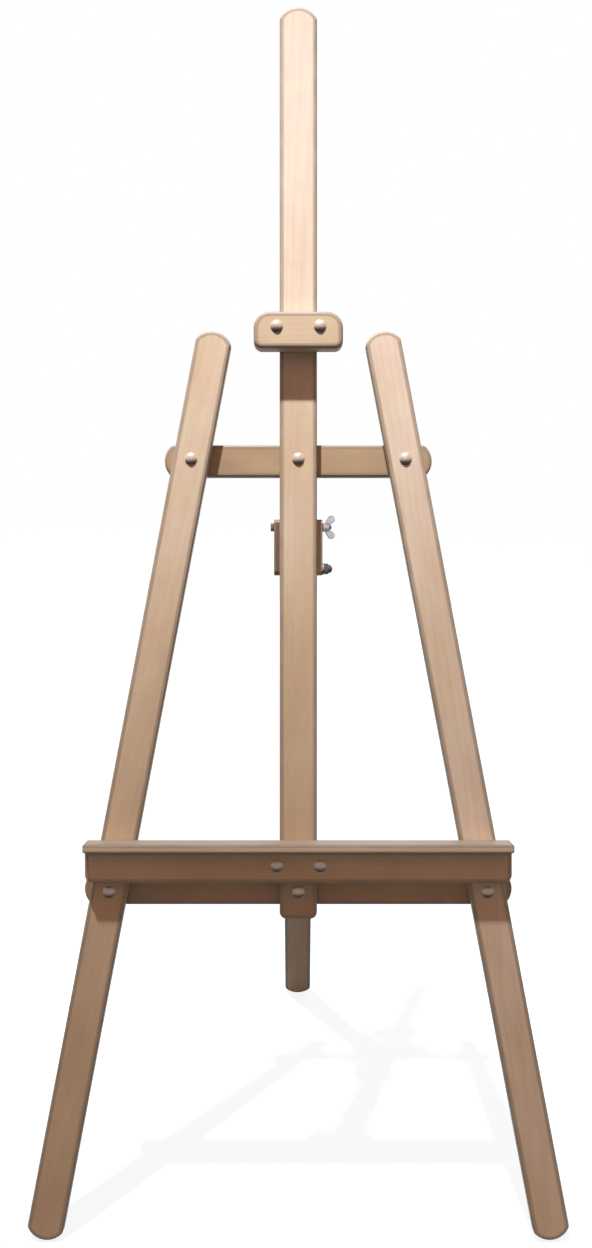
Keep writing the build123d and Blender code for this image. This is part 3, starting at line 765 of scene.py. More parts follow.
@dataclass
class Board:
    """One piece of timber: an outline with thickness, rounded edges and holes."""

    name: str
    stock: Stock
    outline: list[Vector]
    fibres: Fibres = Fibres.ALONG_Y
    arris: float = 3.0
    rub: float = 3.4  # how far the edge's wear and painted shade reach beyond a rounded edge
    tone: Tone = (0.3, 0.3)  # 0 palest, 1 darkest, from its foot or left end to the other
    cutters: list[BMesh] = field(default_factory=list)

    def rows(self) -> list[tuple[float, float, float]]:
        """How far in, how high, and how much wear and painted shade each row of points has, from front to
        back.
        """
        half = self.stock.thickness / 2
        front = [(self.arris + self.rub, half, 0.0), (self.arris + EDGE_BAND_PLATEAU * self.rub, half, EDGE_BAND_WEAR_AND_SHADE)]
        for step in range(ARRIS_STEPS + 1):
            turn = math.pi / 2 * step / ARRIS_STEPS
            wear_and_shade = ARRIS_WEAR_AND_SHADE + (1 - ARRIS_WEAR_AND_SHADE) * math.sin(2 * turn)
            inwards, height = self.arris * (1 - math.sin(turn)), half - self.arris * (1 - math.cos(turn))
            front.append((inwards, height, wear_and_shade))
        front.append((0.0, half - self.arris - self.rub, 0.0))
        return front + [(inwards, -height, wear_and_shade) for inwards, height, wear_and_shade in reversed(front)]

    def mesh(self) -> BMesh:
        """The board's mesh in its own frame, with its "edge" attribute of wear and painted shade."""
        mesh = bmesh.new()
        edge = mesh.verts.layers.float.new("edge")
        made = []
        for inwards, height, wear_and_shade in self.rows():
            row = [mesh.verts.new((point.x, point.y, height)) for point in inset(self.outline, inwards)]
            for vertex in row:
                vertex[edge] = wear_and_shade
            made.append(row)
        return skinned(mesh, made)

    def grow(self, data: bpy.types.Mesh) -> None:
        """Writes where each point lies in the tree the board was sawn from, its tone and its ends.

        Args:
            data: the board's mesh, still in the board's own frame and in millimetres.
        """
        tree = random.Random(self.name)
        heart = Vector([tree.uniform(*span) for span in HEART_SPANS])
        side, depth = (tree.uniform(-most, most) for most in HEART_LEANS)
        lean = Vector((side, 1.0, depth))
        data.attributes.new("grain", "FLOAT_VECTOR", "POINT")
        data.attributes.new("tone", "FLOAT", "POINT")
        data.attributes.new("end", "FLOAT", "FACE")
        grain, tone, end = (data.attributes[name].data for name in ("grain", "tone", "end"))
        along = self.fibres.value
        extent = (self.stock.width, self.stock.height)[along]
        for index, vertex in enumerate(data.vertices):
            length, across = vertex.co[along], vertex.co[1 - along]
            grain[index].vector = heart + lean * length + Vector((across, 0, vertex.co.z))
            share = length / extent + 0.5
            tone[index].value = self.tone[0] * (1 - share) + self.tone[1] * share
        for index, polygon in enumerate(data.polygons):
            end[index].value = polygon.normal[along] ** 2

    def build(self) -> Object:
        """Builds the board in its place, its vertices in the easel's frame."""
        board = as_object(self.name, self.mesh())
        drilled(board, self.cutters)
        self.grow(board.data)
        board.data.transform(self.stock.place.matrix())
        shaded(board.data)
        weighted(board)
        return board


def bore(x: float, y: float, radius: float, sink: float = 0.0, face: float = 0.0) -> BMesh:
    """A cutter through a board.

    Args:
        x: the hole's place in the board's own frame, in millimetres.
        y: its place up the board.
        radius: the hole's radius.
        sink: the radius of a countersink, or 0.
        face: the height of the face that the countersink opens in.

    Returns:
        The cutter's mesh.
    """
    rows = [(radius, -BORE_REACH), (radius, BORE_REACH)]
    if sink:
        neck, mouth = abs(face) - (sink - radius), abs(face) + OVERSHOOT
        rows[1:] = [(radius, neck), (sink + OVERSHOOT, mouth)]
    turn = Matrix.Rotation(math.pi if face < 0 else 0.0, 4, "Y")
    return transformed(turned(rows, BORE_SIDES), Matrix.Translation((x, y, 0)) @ turn)


def cross_bore(y: float, z: float, radius: float) -> BMesh:
    """A cutter through a board from side to side, at a height y and a depth z."""
    straight = turned([(radius, -BORE_REACH), (radius, BORE_REACH)], BORE_SIDES)
    return transformed(straight, Matrix.Translation((0, y, z)) @ Matrix.Rotation(math.pi / 2, 4, "Y"))


# ---------------------------------------------------------------- fittings
# Each stands on its own XY plane and points up along Z, heads and nuts uppermost. All but the wing
# nut are as high as the solid they stand for.
def threaded(radius: float, pitch: float, end: float) -> list[Row]:
    """Rows of a screw thread from its chamfered tip, at 0, to where it has run out.

    Args:
        radius: the thread's outer radius.
        pitch: the height of one turn.
        end: where it has run out into the plain shank.

    Returns:
        The rows, from the tip upwards.
    """
    count = math.ceil(end / pitch * THREAD_ROWS)

    def row(height: float) -> Row:
        """The row at one height."""

        def place(angle: float) -> Point:
            """The radius and height at an angle."""
            turn = (height / pitch + angle / math.tau) % 1
            groove = THREAD_DEPTH * pitch * max(0.0, 1 - abs(2 * turn - 1) * THREAD_FLANKS)
            fade = min(1.0, (end - height) / pitch)
            return min(radius - groove * fade, radius - TIP_CHAMFER * pitch + height), height

        return place

    return [row(end * step / count) for step in range(count + 1)]


@dataclass(frozen=True)
class Bolt:
    """The threaded shank of a bolt, M6 where nothing else is said."""

    radius: float = 3.0
    pitch: float = 1.0
    thread_length: float = 18.0

    def shank(self, seat: float) -> list[Row]:
        """The rows of the shank, from its tip up to a height."""
        return threaded(self.radius, self.pitch, self.thread_length) + [(self.radius, seat)]


@dataclass(frozen=True)
class CarriageBolt(Bolt):
    """M6 bolt with a low domed head and a square neck that keeps it from turning."""

    dome_radius: float = 8.25
    dome_height: float = 3.6
    rim: float = 0.45  # the dome's upright edge
    edge_break: Point = (0.2, 0.15)  # how far in and how high its lower edge is broken
    neck_width: float = 6.0
    neck_length: float = 3.5
    neck_slope: float = 0.4

    def mesh(self, stock: Stock) -> BMesh:
        """Turns the bolt."""
        seat = stock.thickness - self.dome_height
        inwards, up = self.edge_break
        rows = self.shank(seat - self.neck_length - self.neck_slope)
        rows += [square_ring(self.neck_width, seat - self.neck_length), square_ring(self.neck_width, seat)]
        rows += [(self.dome_radius - inwards, seat), (self.dome_radius, seat + up)]
        rise = self.dome_height - self.rim
        sphere = (self.dome_radius**2 + rise**2) / (2 * rise)
        widest = math.asin(self.dome_radius / sphere)
        for step in range(DOME_ROWS):
            turn = widest * (1 - step / DOME_ROWS)
            rows.append((sphere * math.sin(turn), stock.thickness - sphere * (1 - math.cos(turn))))
        return turned(rows)


@dataclass(frozen=True)
class HexagonBolt(Bolt):
    """M6 bolt with a hexagonal head, chamfered and slightly hollowed on top."""

    across_flats: float = 10.0
    head_height: float = 4.0
    hollow_radii: Span = (3.3, 3.0)
    hollow_depth: float = 0.25

    def mesh(self, stock: Stock) -> BMesh:
        """Turns the bolt."""
        top, flats = stock.thickness, self.across_flats
        seat = top - self.head_height
        mouth, floor = self.hollow_radii
        rows = self.shank(seat)
        rows += [hexagon_ring(flats, seat), hexagon_ring(flats, top, -NUT_BEVEL), (NUT_FACE * flats, top)]
        rows += [(mouth, top), (floor, top - self.hollow_depth)]
        return turned(rows)


@dataclass(frozen=True)
class SunkBolt(Bolt):
    """M8 countersunk bolt with a hexagonal socket."""

    radius: float = 4.0
    pitch: float = 1.25
    thread_length: float = 20.0
    head_radius: float = 7.6
    edge_break: float = 0.15
    socket: float = 5.0
    socket_break: Point = (0.4, 0.25)  # how much wider its mouth is and how deep it narrows
    socket_depth: float = 2.6

    def mesh(self, stock: Stock) -> BMesh:
        """Turns the bolt."""
        top, radius, broken = stock.thickness, self.head_radius, self.edge_break
        wider, deep = self.socket_break
        rows = self.shank(top - (radius - self.radius)) + [(radius - 2 * broken, top - 2 * broken)]
        rows += [(radius, top - broken), (radius - broken, top)]
        rows += [hexagon_ring(self.socket + wider, top), hexagon_ring(self.socket, top - deep)]
        rows += [hexagon_ring(self.socket, top - self.socket_depth)]
        return turned(rows)


@dataclass(frozen=True)
class WoodScrew:
    """Countersunk wood screw with a cross-shaped recess."""

    radius: float = 2.0
    pitch: float = 1.6
    plain_length: float = 12.0
    core: float = 0.8  # the plain shank's radius, as a share of the thread's
    head_radius: float = 4.0
    edge_break: float = 0.2
    arm_reach: float = 2.3
    arm_half_angle: float = 0.2  # radians
    between_arms: float = 0.38  # the recess's reach there, as a share of its arms'
    recess_depth: float = 1.8
    recess_floor: float = 0.5  # its size at its floor, as a share of its mouth's

    def recess(self, height: float, share: float) -> Row:
        """A cross-shaped row at a height, shrunk to a share of its full reach."""

        def place(angle: float) -> Point:
            """The radius and height at an angle."""
            off_arm = abs((angle + math.pi / 4) % (math.pi / 2) - math.pi / 4)
            reach = 1.0 if off_arm < self.arm_half_angle else self.between_arms
            return self.arm_reach * share * reach, height

        return place

    def mesh(self, stock: Stock) -> BMesh:
        """Turns the screw."""
        top, radius, broken = stock.thickness, self.head_radius, self.edge_break
        rows = threaded(self.radius, self.pitch, top - self.plain_length)
        rows += [(self.core * self.radius, top - radius), (radius, top - broken)]
        rows += [(radius - broken, top), self.recess(top, 1.0)]
        rows += [self.recess(top - self.recess_depth, self.recess_floor)]
        return turned(rows)


@dataclass(frozen=True)
class Washer:
    """Flat washer, its rim a little rounded by stamping and its bore's edges broken."""

    bore: float = BOLT_BORE
    rounding: float = 0.35
    lower_break: float = 0.1
    upper_break: float = 0.2

    def mesh(self, stock: Stock) -> BMesh:
        """Turns a washer of the solid's own radius and thickness."""
        radius, top, soft = stock.width / 2, stock.thickness, self.rounding
        middle, low, high = ROUND_MIDDLE * soft, self.lower_break, self.upper_break
        rows = [(self.bore, low), (self.bore + low, 0), (radius - soft, 0)]
        rows += [(radius - middle, middle), (radius, soft), (radius, top - soft)]
        rows += [(radius - middle, top - middle), (radius - soft, top)]
        rows += [(self.bore + high, top), (self.bore, top - high)]
        return turned(rows, hollow=True)


@dataclass(frozen=True)
class HexagonNut:
    """M6 nut with both faces and its bore chamfered."""

    bore: float = PIN_BORE
    bore_chamfer: float = 0.4
    across_flats: float = 10.0

    def mesh(self, stock: Stock) -> BMesh:
        """Turns the nut."""
        top, mouth, chamfer = stock.thickness, self.bore + self.bore_chamfer, self.bore_chamfer
        rows = [(self.bore, chamfer), (mouth, 0), *hexagon(self.across_flats, top)]
        return turned(rows + [(mouth, top), (self.bore, top - chamfer)], hollow=True)


@dataclass(frozen=True)
class CapNut:
    """M8 nut closed by a low dome."""

    across_flats: float = 13.0
    hexagon_height: float = 6.5
    dome_radius: float = 5.9
    dome_step: float = 0.1  # between the hexagon's face and the dome

    def mesh(self, stock: Stock) -> BMesh:
        """Turns the nut."""
        rows = hexagon(self.across_flats, self.hexagon_height)
        foot = self.hexagon_height + self.dome_step
        rise = stock.thickness - foot
        for turn in (math.pi / 2 * step / DOME_ROWS for step in range(DOME_ROWS)):
            rows.append((self.dome_radius * math.cos(turn), foot + rise * math.sin(turn)))
        return turned(rows)


@dataclass(frozen=True)
class WingNut:
    """Cast wing nut: two thumb wings run into a conical hub with soft fillets.

    The wings are a little dished where thumb and finger press.
    """

    hub_radius: float = 6.5
    hub_top_radius: float = 5.2
    hub_height: float = 9.0
    span: float = 33.0
    height: float = 17.0
    thickness: float = 2.8
    edge_half: float = 0.36  # half its thickness at the middle of its rounded edge, as a share
    tip_radius: float = 5.4
    root_radius: float = 2.0
    rounding: float = 1.0
    grain: float = 0.33  # size of the cells it is cast in
    fillet_passes: int = 7
    fillet_pull: float = 0.5
    kept_faces: float = 0.3  # share of the casting's faces that are enough
    clearance: float = 0.03  # under its foot, so that it turns free of its washer
    dish: float = 0.45  # share of the wing's thickness left at the middle of the dish
    dish_reach: float = 0.85  # radius of the dish, as a share of the tip's
    dish_falloff: float = 1.5

    @property
    def tip(self) -> Point:
        """The middle of a wing's round tip, sideways and up."""
        return self.span / 2 - self.tip_radius, self.height - self.tip_radius

    def wing(self) -> BMesh:
        """One wing, towards +X: the outline drawn tight round its tip and two root circles."""
        root = self.root_radius
        low_root = (self.hub_top_radius - root, 1.5 * root)
        high_root = (root + PIN_BORE / 2, self.hub_height - root)
        circles = ((self.tip, self.tip_radius), (low_root, root), (high_root, root))
        points = [point for centre, radius in circles for point in arc(centre, radius, 0, 360 - ARC_STEP)]
        outline = [points[index] for index in convex_hull_2d(points)]
        front = [(self.rounding, 0.5), (ROUND_MIDDLE * self.rounding, self.edge_half)]
        rows = front + [(0, 0.0)] + [(inwards, -share) for inwards, share in reversed(front)]
        mesh = bmesh.new()
        made = []
        for inwards, share in rows:
            y = -share * self.thickness
            made.append([mesh.verts.new((point.x, y, point.y)) for point in inset(outline, inwards)])
        return skinned(mesh, made)

    def pressed(self, data: bpy.types.Mesh) -> None:
        """Dishes both faces of both wings."""
        for vertex in data.vertices:
            away = (Vector((abs(vertex.co.x), vertex.co.z)) - Vector(self.tip)).length
            away /= self.dish_reach * self.tip_radius
            if away < 1:
                vertex.co.y *= 1 - (1 - self.dish) * (1 - away**2) ** self.dish_falloff

    def cast(self) -> BMesh:
        """Casts the nut, standing on the XY plane with its wings along X."""
        hub = turned([(self.hub_radius, 0), (self.hub_top_radius, self.hub_height)])
        other = transformed(self.wing(), Matrix.Rotation(math.pi, 4, "Z"))
        nut = as_object("casting", joined([hub, self.wing(), other]))
        remesh = nut.modifiers.new("casting", "REMESH")
        remesh.mode = "VOXEL"
        remesh.voxel_size = self.grain
        smooth = nut.modifiers.new("fillets", "SMOOTH")
        smooth.factor = self.fillet_pull
        smooth.iterations = self.fillet_passes
        nut.modifiers.new("fewer_faces", "DECIMATE").ratio = self.kept_faces
        applied(nut)
        self.pressed(nut.data)
        foot = min(vertex.co.z for vertex in nut.data.vertices) - self.clearance
        nut.data.transform(Matrix.Translation((0, 0, -foot)))
        drilled(nut, [bore(0, 0, PIN_BORE)])
        result = bmesh.new()
        result.from_mesh(nut.data)
        bpy.data.objects.remove(nut)
        return result


# ---------------------------------------------------------------- sub-assemblies
@dataclass
class Assembly:
    """A group of pieces that is built together, most of them on one body."""

    frame: Frame
    materials: dict[Finish, Material]
    body: str = ""

    def give(self, piece: Object, finish: Finish, node: str, body: str = "") -> None:
        """Gives a finished piece its finish and its part in the frame.

        Args:
            piece: the finished object.
            finish: its finish.
            node: the node it stands for.
            body: the body it moves with, where it isn't the assembly's own.
        """
        piece.data.materials.clear()
        piece.data.materials.append(self.materials[finish])
        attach(piece, body or self.body)
        finish.slot
        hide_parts(node)
        log.info("%s: %d faces, on %s", piece.name, len(piece.data.polygons), body or self.body)

    def board(self, name: str, node: str, stock: Stock, outline: list[Vector], **shape: object) -> None:
        """Builds a board and gives it its finish.

        Args:
            name: the board's name.
            node: the node it stands for.
            stock: its place and size.
            outline: its outline, in its own frame.
            shape: the rest of what a Board takes.
        """
        self.give(Board(name, stock, outline, **shape).build(), Finish.WOOD, node)

    def bolt_bores(self, board: Stock, bolts: str) -> list[BMesh]:
        """Cutters for those of a node's bolts that pass through a board's broad faces."""
        spots = [board.place.local(bolt.place.origin) for bolt in self.frame.solids(bolts)]
        inside = [spot for spot in spots if abs(spot.x) < board.width / 2 and abs(spot.y) < board.height / 2]
        return [bore(spot.x, spot.y, BOLT_BORE) for spot in inside]

    def hardware(
        self, name: str, node: str, make: Callable[[Stock], BMesh], way: Way = Way.FORWARD,
        finish: Finish = Finish.BOLTS, body: str = "",
    ) -> None:
        """Fits hardware in place of a node's solids.

        Args:
            name: the new piece's name.
            node: the node it stands for.
            make: builds one fitting for a solid.
            way: the way their heads or nuts point.
            finish: their finish.
            body: the body they move with, where it isn't the assembly's own.
        """
        stocks = self.frame.solids(node, way)
        piece = as_object(name, joined([transformed(make(stock), stock.foot().matrix()) for stock in stocks]))
        weighted(piece)
        self.give(piece, finish, node, body)

    def wing_nut(self, name: str, node: str, way: Way) -> None:
        """Casts a wing nut, which is a node and a body of its own."""
        self.hardware(name, node, lambda stock: WingNut().cast(), way, Finish.WING_NUTS, node)


@dataclass
class FrontFrame(Assembly):
    """Mast, front legs and crossbars, held by six carriage bolts."""

    body: str = "front_frame"
    bolts: str = "frame_bolts"
    tail_radius: float = 9.0
    # mast and legs run darker towards the foot and paler at the top: painted light falloff over the wood's
    # own tone
    mast_tone: Tone = (0.47, -0.15)
    left_tone: Tone = (0.38, 0.18)
    right_tone: Tone = (0.18, 0.08)
    crossbar_tone: Tone = (0.62, 0.62)

    def mast(self) -> None:
        """The tall middle board, arched above and with rounded corners below."""
        stock = self.frame.stock("mast")
        half, low, radius = stock.width / 2, stock.height / 2, self.tail_radius
        outline = arch(stock.width, low)
        outline += arc((radius - half, radius - low), radius, 180, 270)
        outline += arc((half - radius, radius - low), radius, 270, 360)
        cutters = self.bolt_bores(stock, self.bolts)
        self.board("mast_board", "mast", stock, outline, tone=self.mast_tone, cutters=cutters)

    def leg(self, side: Side, tone: Tone) -> None:
        """One splayed front leg, arched at both ends."""
        node = "front_leg_" + side.value
        across = self.frame.broadest(node, square_to=self.frame.forward)
        stock = self.frame.stock(node, across, self.frame.forward.cross(across))
        outline, cutters = arched(stock.width, stock.height), self.bolt_bores(stock, self.bolts)
        self.board("leg_board_" + side.value, node, stock, outline, tone=tone, cutters=cutters)

    def crossbar(self, level: Level) -> None:
        """One crossbar behind the mast and the legs."""
        node = level.value + "_crossbar"
        stock = self.frame.stock(node)
        outline = [Vector((point.y, -point.x)) for point in arched(stock.height, stock.width)]
        self.board(
            level.value + "_rail", node, stock, outline, fibres=Fibres.ALONG_X,
            tone=self.crossbar_tone, cutters=self.bolt_bores(stock, self.bolts),
        )

    def build(self) -> None:
        """Builds the boards and what holds them."""
        self.mast()
        self.leg(Side.LEFT, self.left_tone)
        self.leg(Side.RIGHT, self.right_tone)
        for level in Level:
            self.crossbar(level)
        self.hardware("domed_bolts", self.bolts, CarriageBolt().mesh)
        self.hardware("back_washers", "frame_washers", Washer().mesh, Way.BACK)
        self.hardware("back_nuts", "frame_nuts", HexagonNut().mesh, Way.BACK)


@dataclass
class Hinge(Assembly):
    """Spacer and cheeks behind the mast, the bolt through them and the pin of the rear leg."""

    body: str = "front_frame"
    corner_radius: float = 6.0
    foot_depth: float = 24.0
    knee_below_pin: float = 24.0
    screw_clearance: float = 0.1
    sink_clearance: float = 0.25
    spacer_tone: Tone = (0.42, 0.42)
    # the left cheek's darkest tone is painted shade
    left_tone: Tone = (1.0, 1.0)
    right_tone: Tone = (0.34, 0.34)

    def spacer(self, cheek_bolt: Vector) -> None:
        """The block screwed to the mast's back, with the cheeks' bolt through it at a point."""
        stock = self.frame.stock("hinge_spacer")
        screw, back = WoodScrew(), -stock.thickness / 2
        radius, sink = screw.radius + self.screw_clearance, screw.head_radius + self.screw_clearance
        spots = [stock.place.local(solid.place.origin) for solid in self.frame.solids("spacer_screws")]
        cutters = [bore(spot.x, spot.y, radius, sink, back) for spot in spots]
        spot = stock.place.local(cheek_bolt)
        cutters.append(cross_bore(spot.y, spot.z, CHEEK_BOLT_BORE))
        self.board(
            "spacer_block", "hinge_spacer", stock, four_cornered(stock, 0, 0), arris=1.0, rub=1.5,
            tone=self.spacer_tone, cutters=cutters,
        )

    def cheek(self, side: Side, tone: Tone, sink: float, cheek_bolt: Vector) -> None:
        """One cheek, deep above for the pin and tapering below.

        Args:
            side: which one.
            tone: how dark it is; the left cheek's darkest tone is painted shade.
            sink: the radius of the countersink for the cheeks' bolt, or 0.
            cheek_bolt: a point on that bolt's axis.
        """
        node = "hinge_cheek_" + side.value
        stock = self.frame.stock(node, -self.frame.forward, self.frame.up)
        pin, spot = stock.place.local(self.frame.pin), stock.place.local(cheek_bolt)
        x, y = stock.width / 2, stock.height / 2
        corners = [(-x, -y), (self.foot_depth - x, -y), (x, pin.y - self.knee_below_pin), (x, y), (-x, y)]
        outline = filleted([(*corner, self.corner_radius) for corner in corners])
        outside = -stock.thickness / 2 if sink else 0.0
        cutters = [bore(pin.x, pin.y, PIN_BORE), bore(spot.x, spot.y, CHEEK_BOLT_BORE, sink, outside)]
        name = "cheek_plate_" + side.value
        self.board(name, node, stock, outline, arris=1.2, rub=1.8, tone=tone, cutters=cutters)

    def build(self) -> None:
        """Builds the hinge from the mast outwards."""
        bolt = self.frame.stock("cheek_bolt", *self.frame.across(Way.LEFT)).place.origin
        self.spacer(bolt)
        self.cheek(Side.LEFT, self.left_tone, SunkBolt().head_radius + self.sink_clearance, bolt)
        self.cheek(Side.RIGHT, self.right_tone, 0.0, bolt)
        self.hardware("spacer_wood_screws", "spacer_screws", WoodScrew().mesh, Way.BACK)
        self.hardware("sunk_cheek_bolt", "cheek_bolt", SunkBolt().mesh, Way.LEFT, Finish.CHEEK_BOLT)
        self.hardware("cheek_washer", "cheek_bolt_washer", Washer(CHEEK_BOLT_BORE).mesh, Way.RIGHT)
        self.hardware("cheek_cap_nut", "cheek_bolt_nut", CapNut().mesh, Way.RIGHT, Finish.CHEEK_BOLT)
        self.hardware("pin_bolt", "hinge_bolt", HexagonBolt().mesh, Way.LEFT)
        self.hardware("pin_washers", "hinge_washers", Washer().mesh, Way.RIGHT)
        self.wing_nut("pin_wing_nut", "hinge_wing_nut", Way.RIGHT)


@dataclass
class RearLeg(Assembly):
    """The prop that swings on the hinge pin."""

    body: str = "rear_leg"

    def build(self) -> None:
        """Builds the leg, arched at both ends."""
        out = self.frame.broadest("rear_leg", square_to=RIGHT)
        stock = self.frame.stock("rear_leg", RIGHT, out.cross(RIGHT))
        pin = stock.place.local(self.frame.pin)
        outline, cutters = arched(stock.width, stock.height), [cross_bore(pin.y, pin.z, PIN_BORE)]
        self.board("rear_prop", "rear_leg", stock, outline, tone=(0.3, 0.24), cutters=cutters)


@dataclass
class Slider(Assembly):
    """What slides on the mast: a board in front, a block behind and two bolts."""

    block_radius: float = 5.0

    def front_board(self, bolts: str) -> None:
        """Builds nothing here; a clamp or a tray builds what is in front of the mast, bored for a node's
        bolts.
        """

    def build(self) -> None:
        """Builds the slider and its fittings."""
        body, bolts = self.body, self.body + "_bolts"
        self.front_board(bolts)
        stock = self.frame.stock(body + "_rear_block")
        self.board(
            body + "_back_block", body + "_rear_block", stock,
            four_cornered(stock, self.block_radius, self.block_radius), fibres=Fibres.ALONG_X, rub=1.8,
            cutters=self.bolt_bores(stock, bolts),
        )
        self.hardware(body + "_domed_bolts", bolts, CarriageBolt().mesh)
        self.hardware(body + "_back_washers", body + "_washers", Washer().mesh, Way.BACK)
        for side in Side:
            self.wing_nut(f"{body}_thumb_nut_{side.value}", f"{body}_wing_nut_{side.value}", Way.BACK)


@dataclass
class CanvasClamp(Slider):
    """The block that holds a canvas from above."""

    body: str = "clamp"
    foot_radius: float = 11.0
    top_radius: float = 21.0

    def front_board(self, bolts: str) -> None:
        """The thick block in front, round-shouldered above."""
        stock = self.frame.stock("clamp_front_block")
        self.board(
            "clamp_face_block", "clamp_front_block", stock,
            four_cornered(stock, self.foot_radius, self.top_radius), fibres=Fibres.ALONG_X, arris=4.0,
            tone=(0.28, 0.28), cutters=self.bolt_bores(stock, bolts),
        )


@dataclass
class Tray(Slider):
    """The ledge that a canvas stands on and the apron that carries it."""

    body: str = "tray"
    apron_radius: float = 11.0
    ledge_radius: float = 4.0

    def front_board(self, bolts: str) -> None:
        """The apron, and the ledge glued on it, whose front edge is the foot of its outline."""
        stock = self.frame.stock("tray_apron")
        self.board(
            "apron_board", "tray_apron", stock, four_cornered(stock, self.apron_radius, 0),
            fibres=Fibres.ALONG_X, tone=(0.26, 0.26), cutters=self.bolt_bores(stock, bolts),
        )
        stock = self.frame.stock("tray_ledge", RIGHT, -self.frame.forward)
        self.board(
            "ledge_board", "tray_ledge", stock, four_cornered(stock, self.ledge_radius, 0),
            fibres=Fibres.ALONG_X, arris=2.4, rub=1.5, tone=(0.18, 0.22),
        )


# ---------------------------------------------------------------- studio
@dataclass(frozen=True)
class Beam:
    """One beam of the lamp: its power in watts and how high it is, in degrees."""

    name: str
    power: float
    angle: float


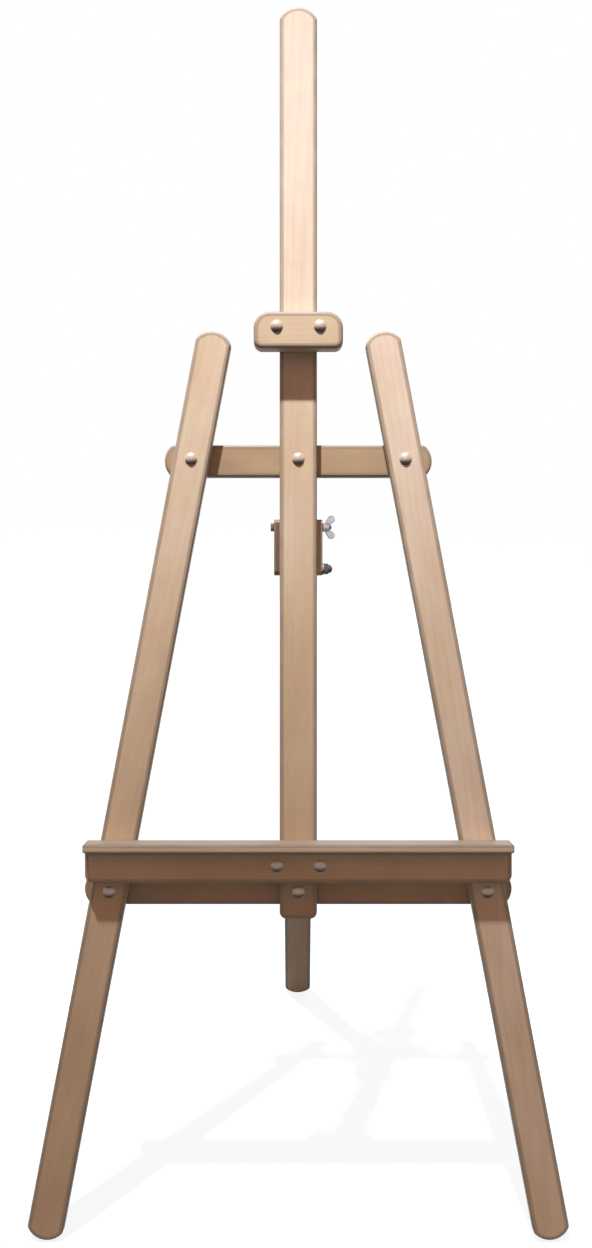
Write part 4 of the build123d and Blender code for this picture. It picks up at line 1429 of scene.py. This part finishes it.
@dataclass(frozen=True)
class Studio:
    """A white studio: a lamp above on the left, a weak one behind, and soft light from all round.

    The soft light is strongest from above.
    """

    camera_distance: float = 1.5  # metres from the front face, square to it
    camera_below_top: float = 0.8271
    camera_right: float = -0.0031
    lens: float = 32.3
    sensor: float = 36.0
    lamp_way: tuple[float, float, float] = (-0.141, -0.129, 0.9816)  # from the easel to the lamp
    lamp_distance: float = 12.0
    lamp_radius: float = 0.2
    aim_below_top: float = 0.23
    beams: tuple[Beam, ...] = (
        Beam("lamp", 4050, 120.0), Beam("wide_beam", 6300, 3.1), Beam("slim_beam", 6000, 2.4),
    )
    beam_breadth: float = 5.0  # how much wider than high a beam is
    back_place: tuple[float, float, float] = (1.1, 3.2, 1.1)  # metres from the point under the easel
    back_aim: tuple[float, float, float] = (0.0, 0.0, 0.7)
    back_power: float = 42.0
    back_side: float = 2.2
    fill: str = "#FFC4A2"
    fill_level: float = 0.08  # how strongly the surroundings light from the sides
    fill_overhead: float = 0.66  # and from straight above
    floor_side: float = 14.0
    floor_seen: str = "#6F8B9E"  # cool, so that the warm light in the shadow leaves it grey
    floor_glow: float = 0.86
    floor_bounce: str = "#4A4A4A"  # what it throws back at the easel

    def camera(self, frame: Frame) -> None:
        """Stands the camera square to the leaning front."""
        data = bpy.data.cameras.new("camera")
        data.sensor_fit = "VERTICAL"
        data.sensor_height = self.sensor
        data.lens = self.lens
        stand = frame.mast_top() - frame.up * self.camera_below_top + frame.forward * self.camera_distance
        stand += RIGHT * self.camera_right
        way = axes(RIGHT, frame.up, frame.forward)
        bpy.context.scene.camera = placed("camera", data, Matrix.Translation(stand) @ way)

    def lamp(self, beam: Beam, aim: Vector) -> None:
        """Hangs one of the lamp's beams above the easel, on the left, turned to a point."""
        data = bpy.data.lights.new(beam.name, "SPOT")
        data.energy = beam.power
        data.shadow_soft_size = self.lamp_radius
        data.spot_size = math.radians(beam.angle)
        data.spot_blend = 1.0
        way = Vector(self.lamp_way).normalized()
        across = (RIGHT - way * way.dot(RIGHT)).normalized()
        hung = axes(across, way.cross(across), way) @ Matrix.Diagonal((self.beam_breadth, 1, 1, 1))
        placed(beam.name, data, Matrix.Translation(aim + way * self.lamp_distance) @ hung)

    def back_lamp(self) -> None:
        """Stands a weak, broad lamp behind the easel, so that its back has light and shade too."""
        data = bpy.data.lights.new("back_lamp", "AREA")
        data.energy = self.back_power
        data.size = self.back_side
        place = Vector(self.back_place)
        towards = (place - Vector(self.back_aim)).to_track_quat("Z", "Y").to_matrix().to_4x4()
        lamp = placed("back_lamp", data, Matrix.Translation(place) @ towards)
        lamp.visible_camera = False
        lamp.visible_glossy = False

    def seen_directly(self, tree: NodeTree) -> Node:
        """1 for rays from the camera, from metal or through glass, and 0 for the rest."""
        path = tree.add("LightPath").outputs
        either = tree.add("Math", MAXIMUM, path["Is Camera Ray"], path["Is Glossy Ray"])
        return tree.add("Math", MAXIMUM, either, path["Is Transmission Ray"])

    def world(self) -> None:
        """Surrounds the easel with white that lights it softly."""
        world = bpy.data.worlds.new("white_studio")
        bpy.context.scene.world = world
        world.use_nodes = True
        world.node_tree.nodes.clear()
        tree = NodeTree(world.node_tree)
        height = tree.add("SeparateXYZ", {}, tree.add("TexCoord").outputs["Generated"]).outputs["Z"]
        strength = tree.add("MapRange", Value=height, To_Min=self.fill_level, To_Max=self.fill_overhead)
        soft = tree.add("Background", Color=linear(self.fill), Strength=strength)
        white = tree.add("Background", Color=linear(WHITE), Strength=1.0)
        tree.add("OutputWorld", Surface=tree.add("MixShader", {}, self.seen_directly(tree), soft, white))

    def floor(self) -> None:
        """Lays a pale floor that looks white and keeps the easel's shadow."""
        material, tree = new_material("white_floor")
        shadowed = tree.add("BsdfDiffuse", Color=linear(self.floor_seen))
        glow = tree.add("Emission", Color=linear(WHITE), Strength=self.floor_glow)
        white = tree.add("AddShader", {}, shadowed, glow)
        plain = tree.add("BsdfDiffuse", Color=linear(self.floor_bounce))
        tree.add("OutputMaterial", Surface=tree.add("MixShader", {}, self.seen_directly(tree), plain, white))
        half = self.floor_side / 2
        data = bpy.data.meshes.new("floor")
        corners = [(-half, -half, 0), (half, -half, 0), (half, half, 0), (-half, half, 0)]
        data.from_pydata(corners, [], [(0, 1, 2, 3)])
        data.materials.append(material)
        placed("floor", data)

    def build(self, frame: Frame) -> None:
        """Sets up the camera, the lamps, the world and the floor."""
        self.camera(frame)
        aim = frame.mast_top() - frame.up * self.aim_below_top
        for beam in self.beams:
            self.lamp(beam, aim)
        self.back_lamp()
        self.world()
        self.floor()
        bpy.context.scene.view_settings.view_transform = "Standard"


def main() -> None:
    """Builds the easel's pieces in order."""
    logging.basicConfig(level=logging.INFO, format="%(name)s: %(message)s")
    frame = Frame(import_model())
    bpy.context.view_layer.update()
    materials = {finish: finish.material() for finish in Finish}
    for assembly in (FrontFrame, Hinge, RearLeg, CanvasClamp, Tray):
        assembly(frame, materials).build()
    Studio().build(frame)


if __name__ == "__main__":
    main()
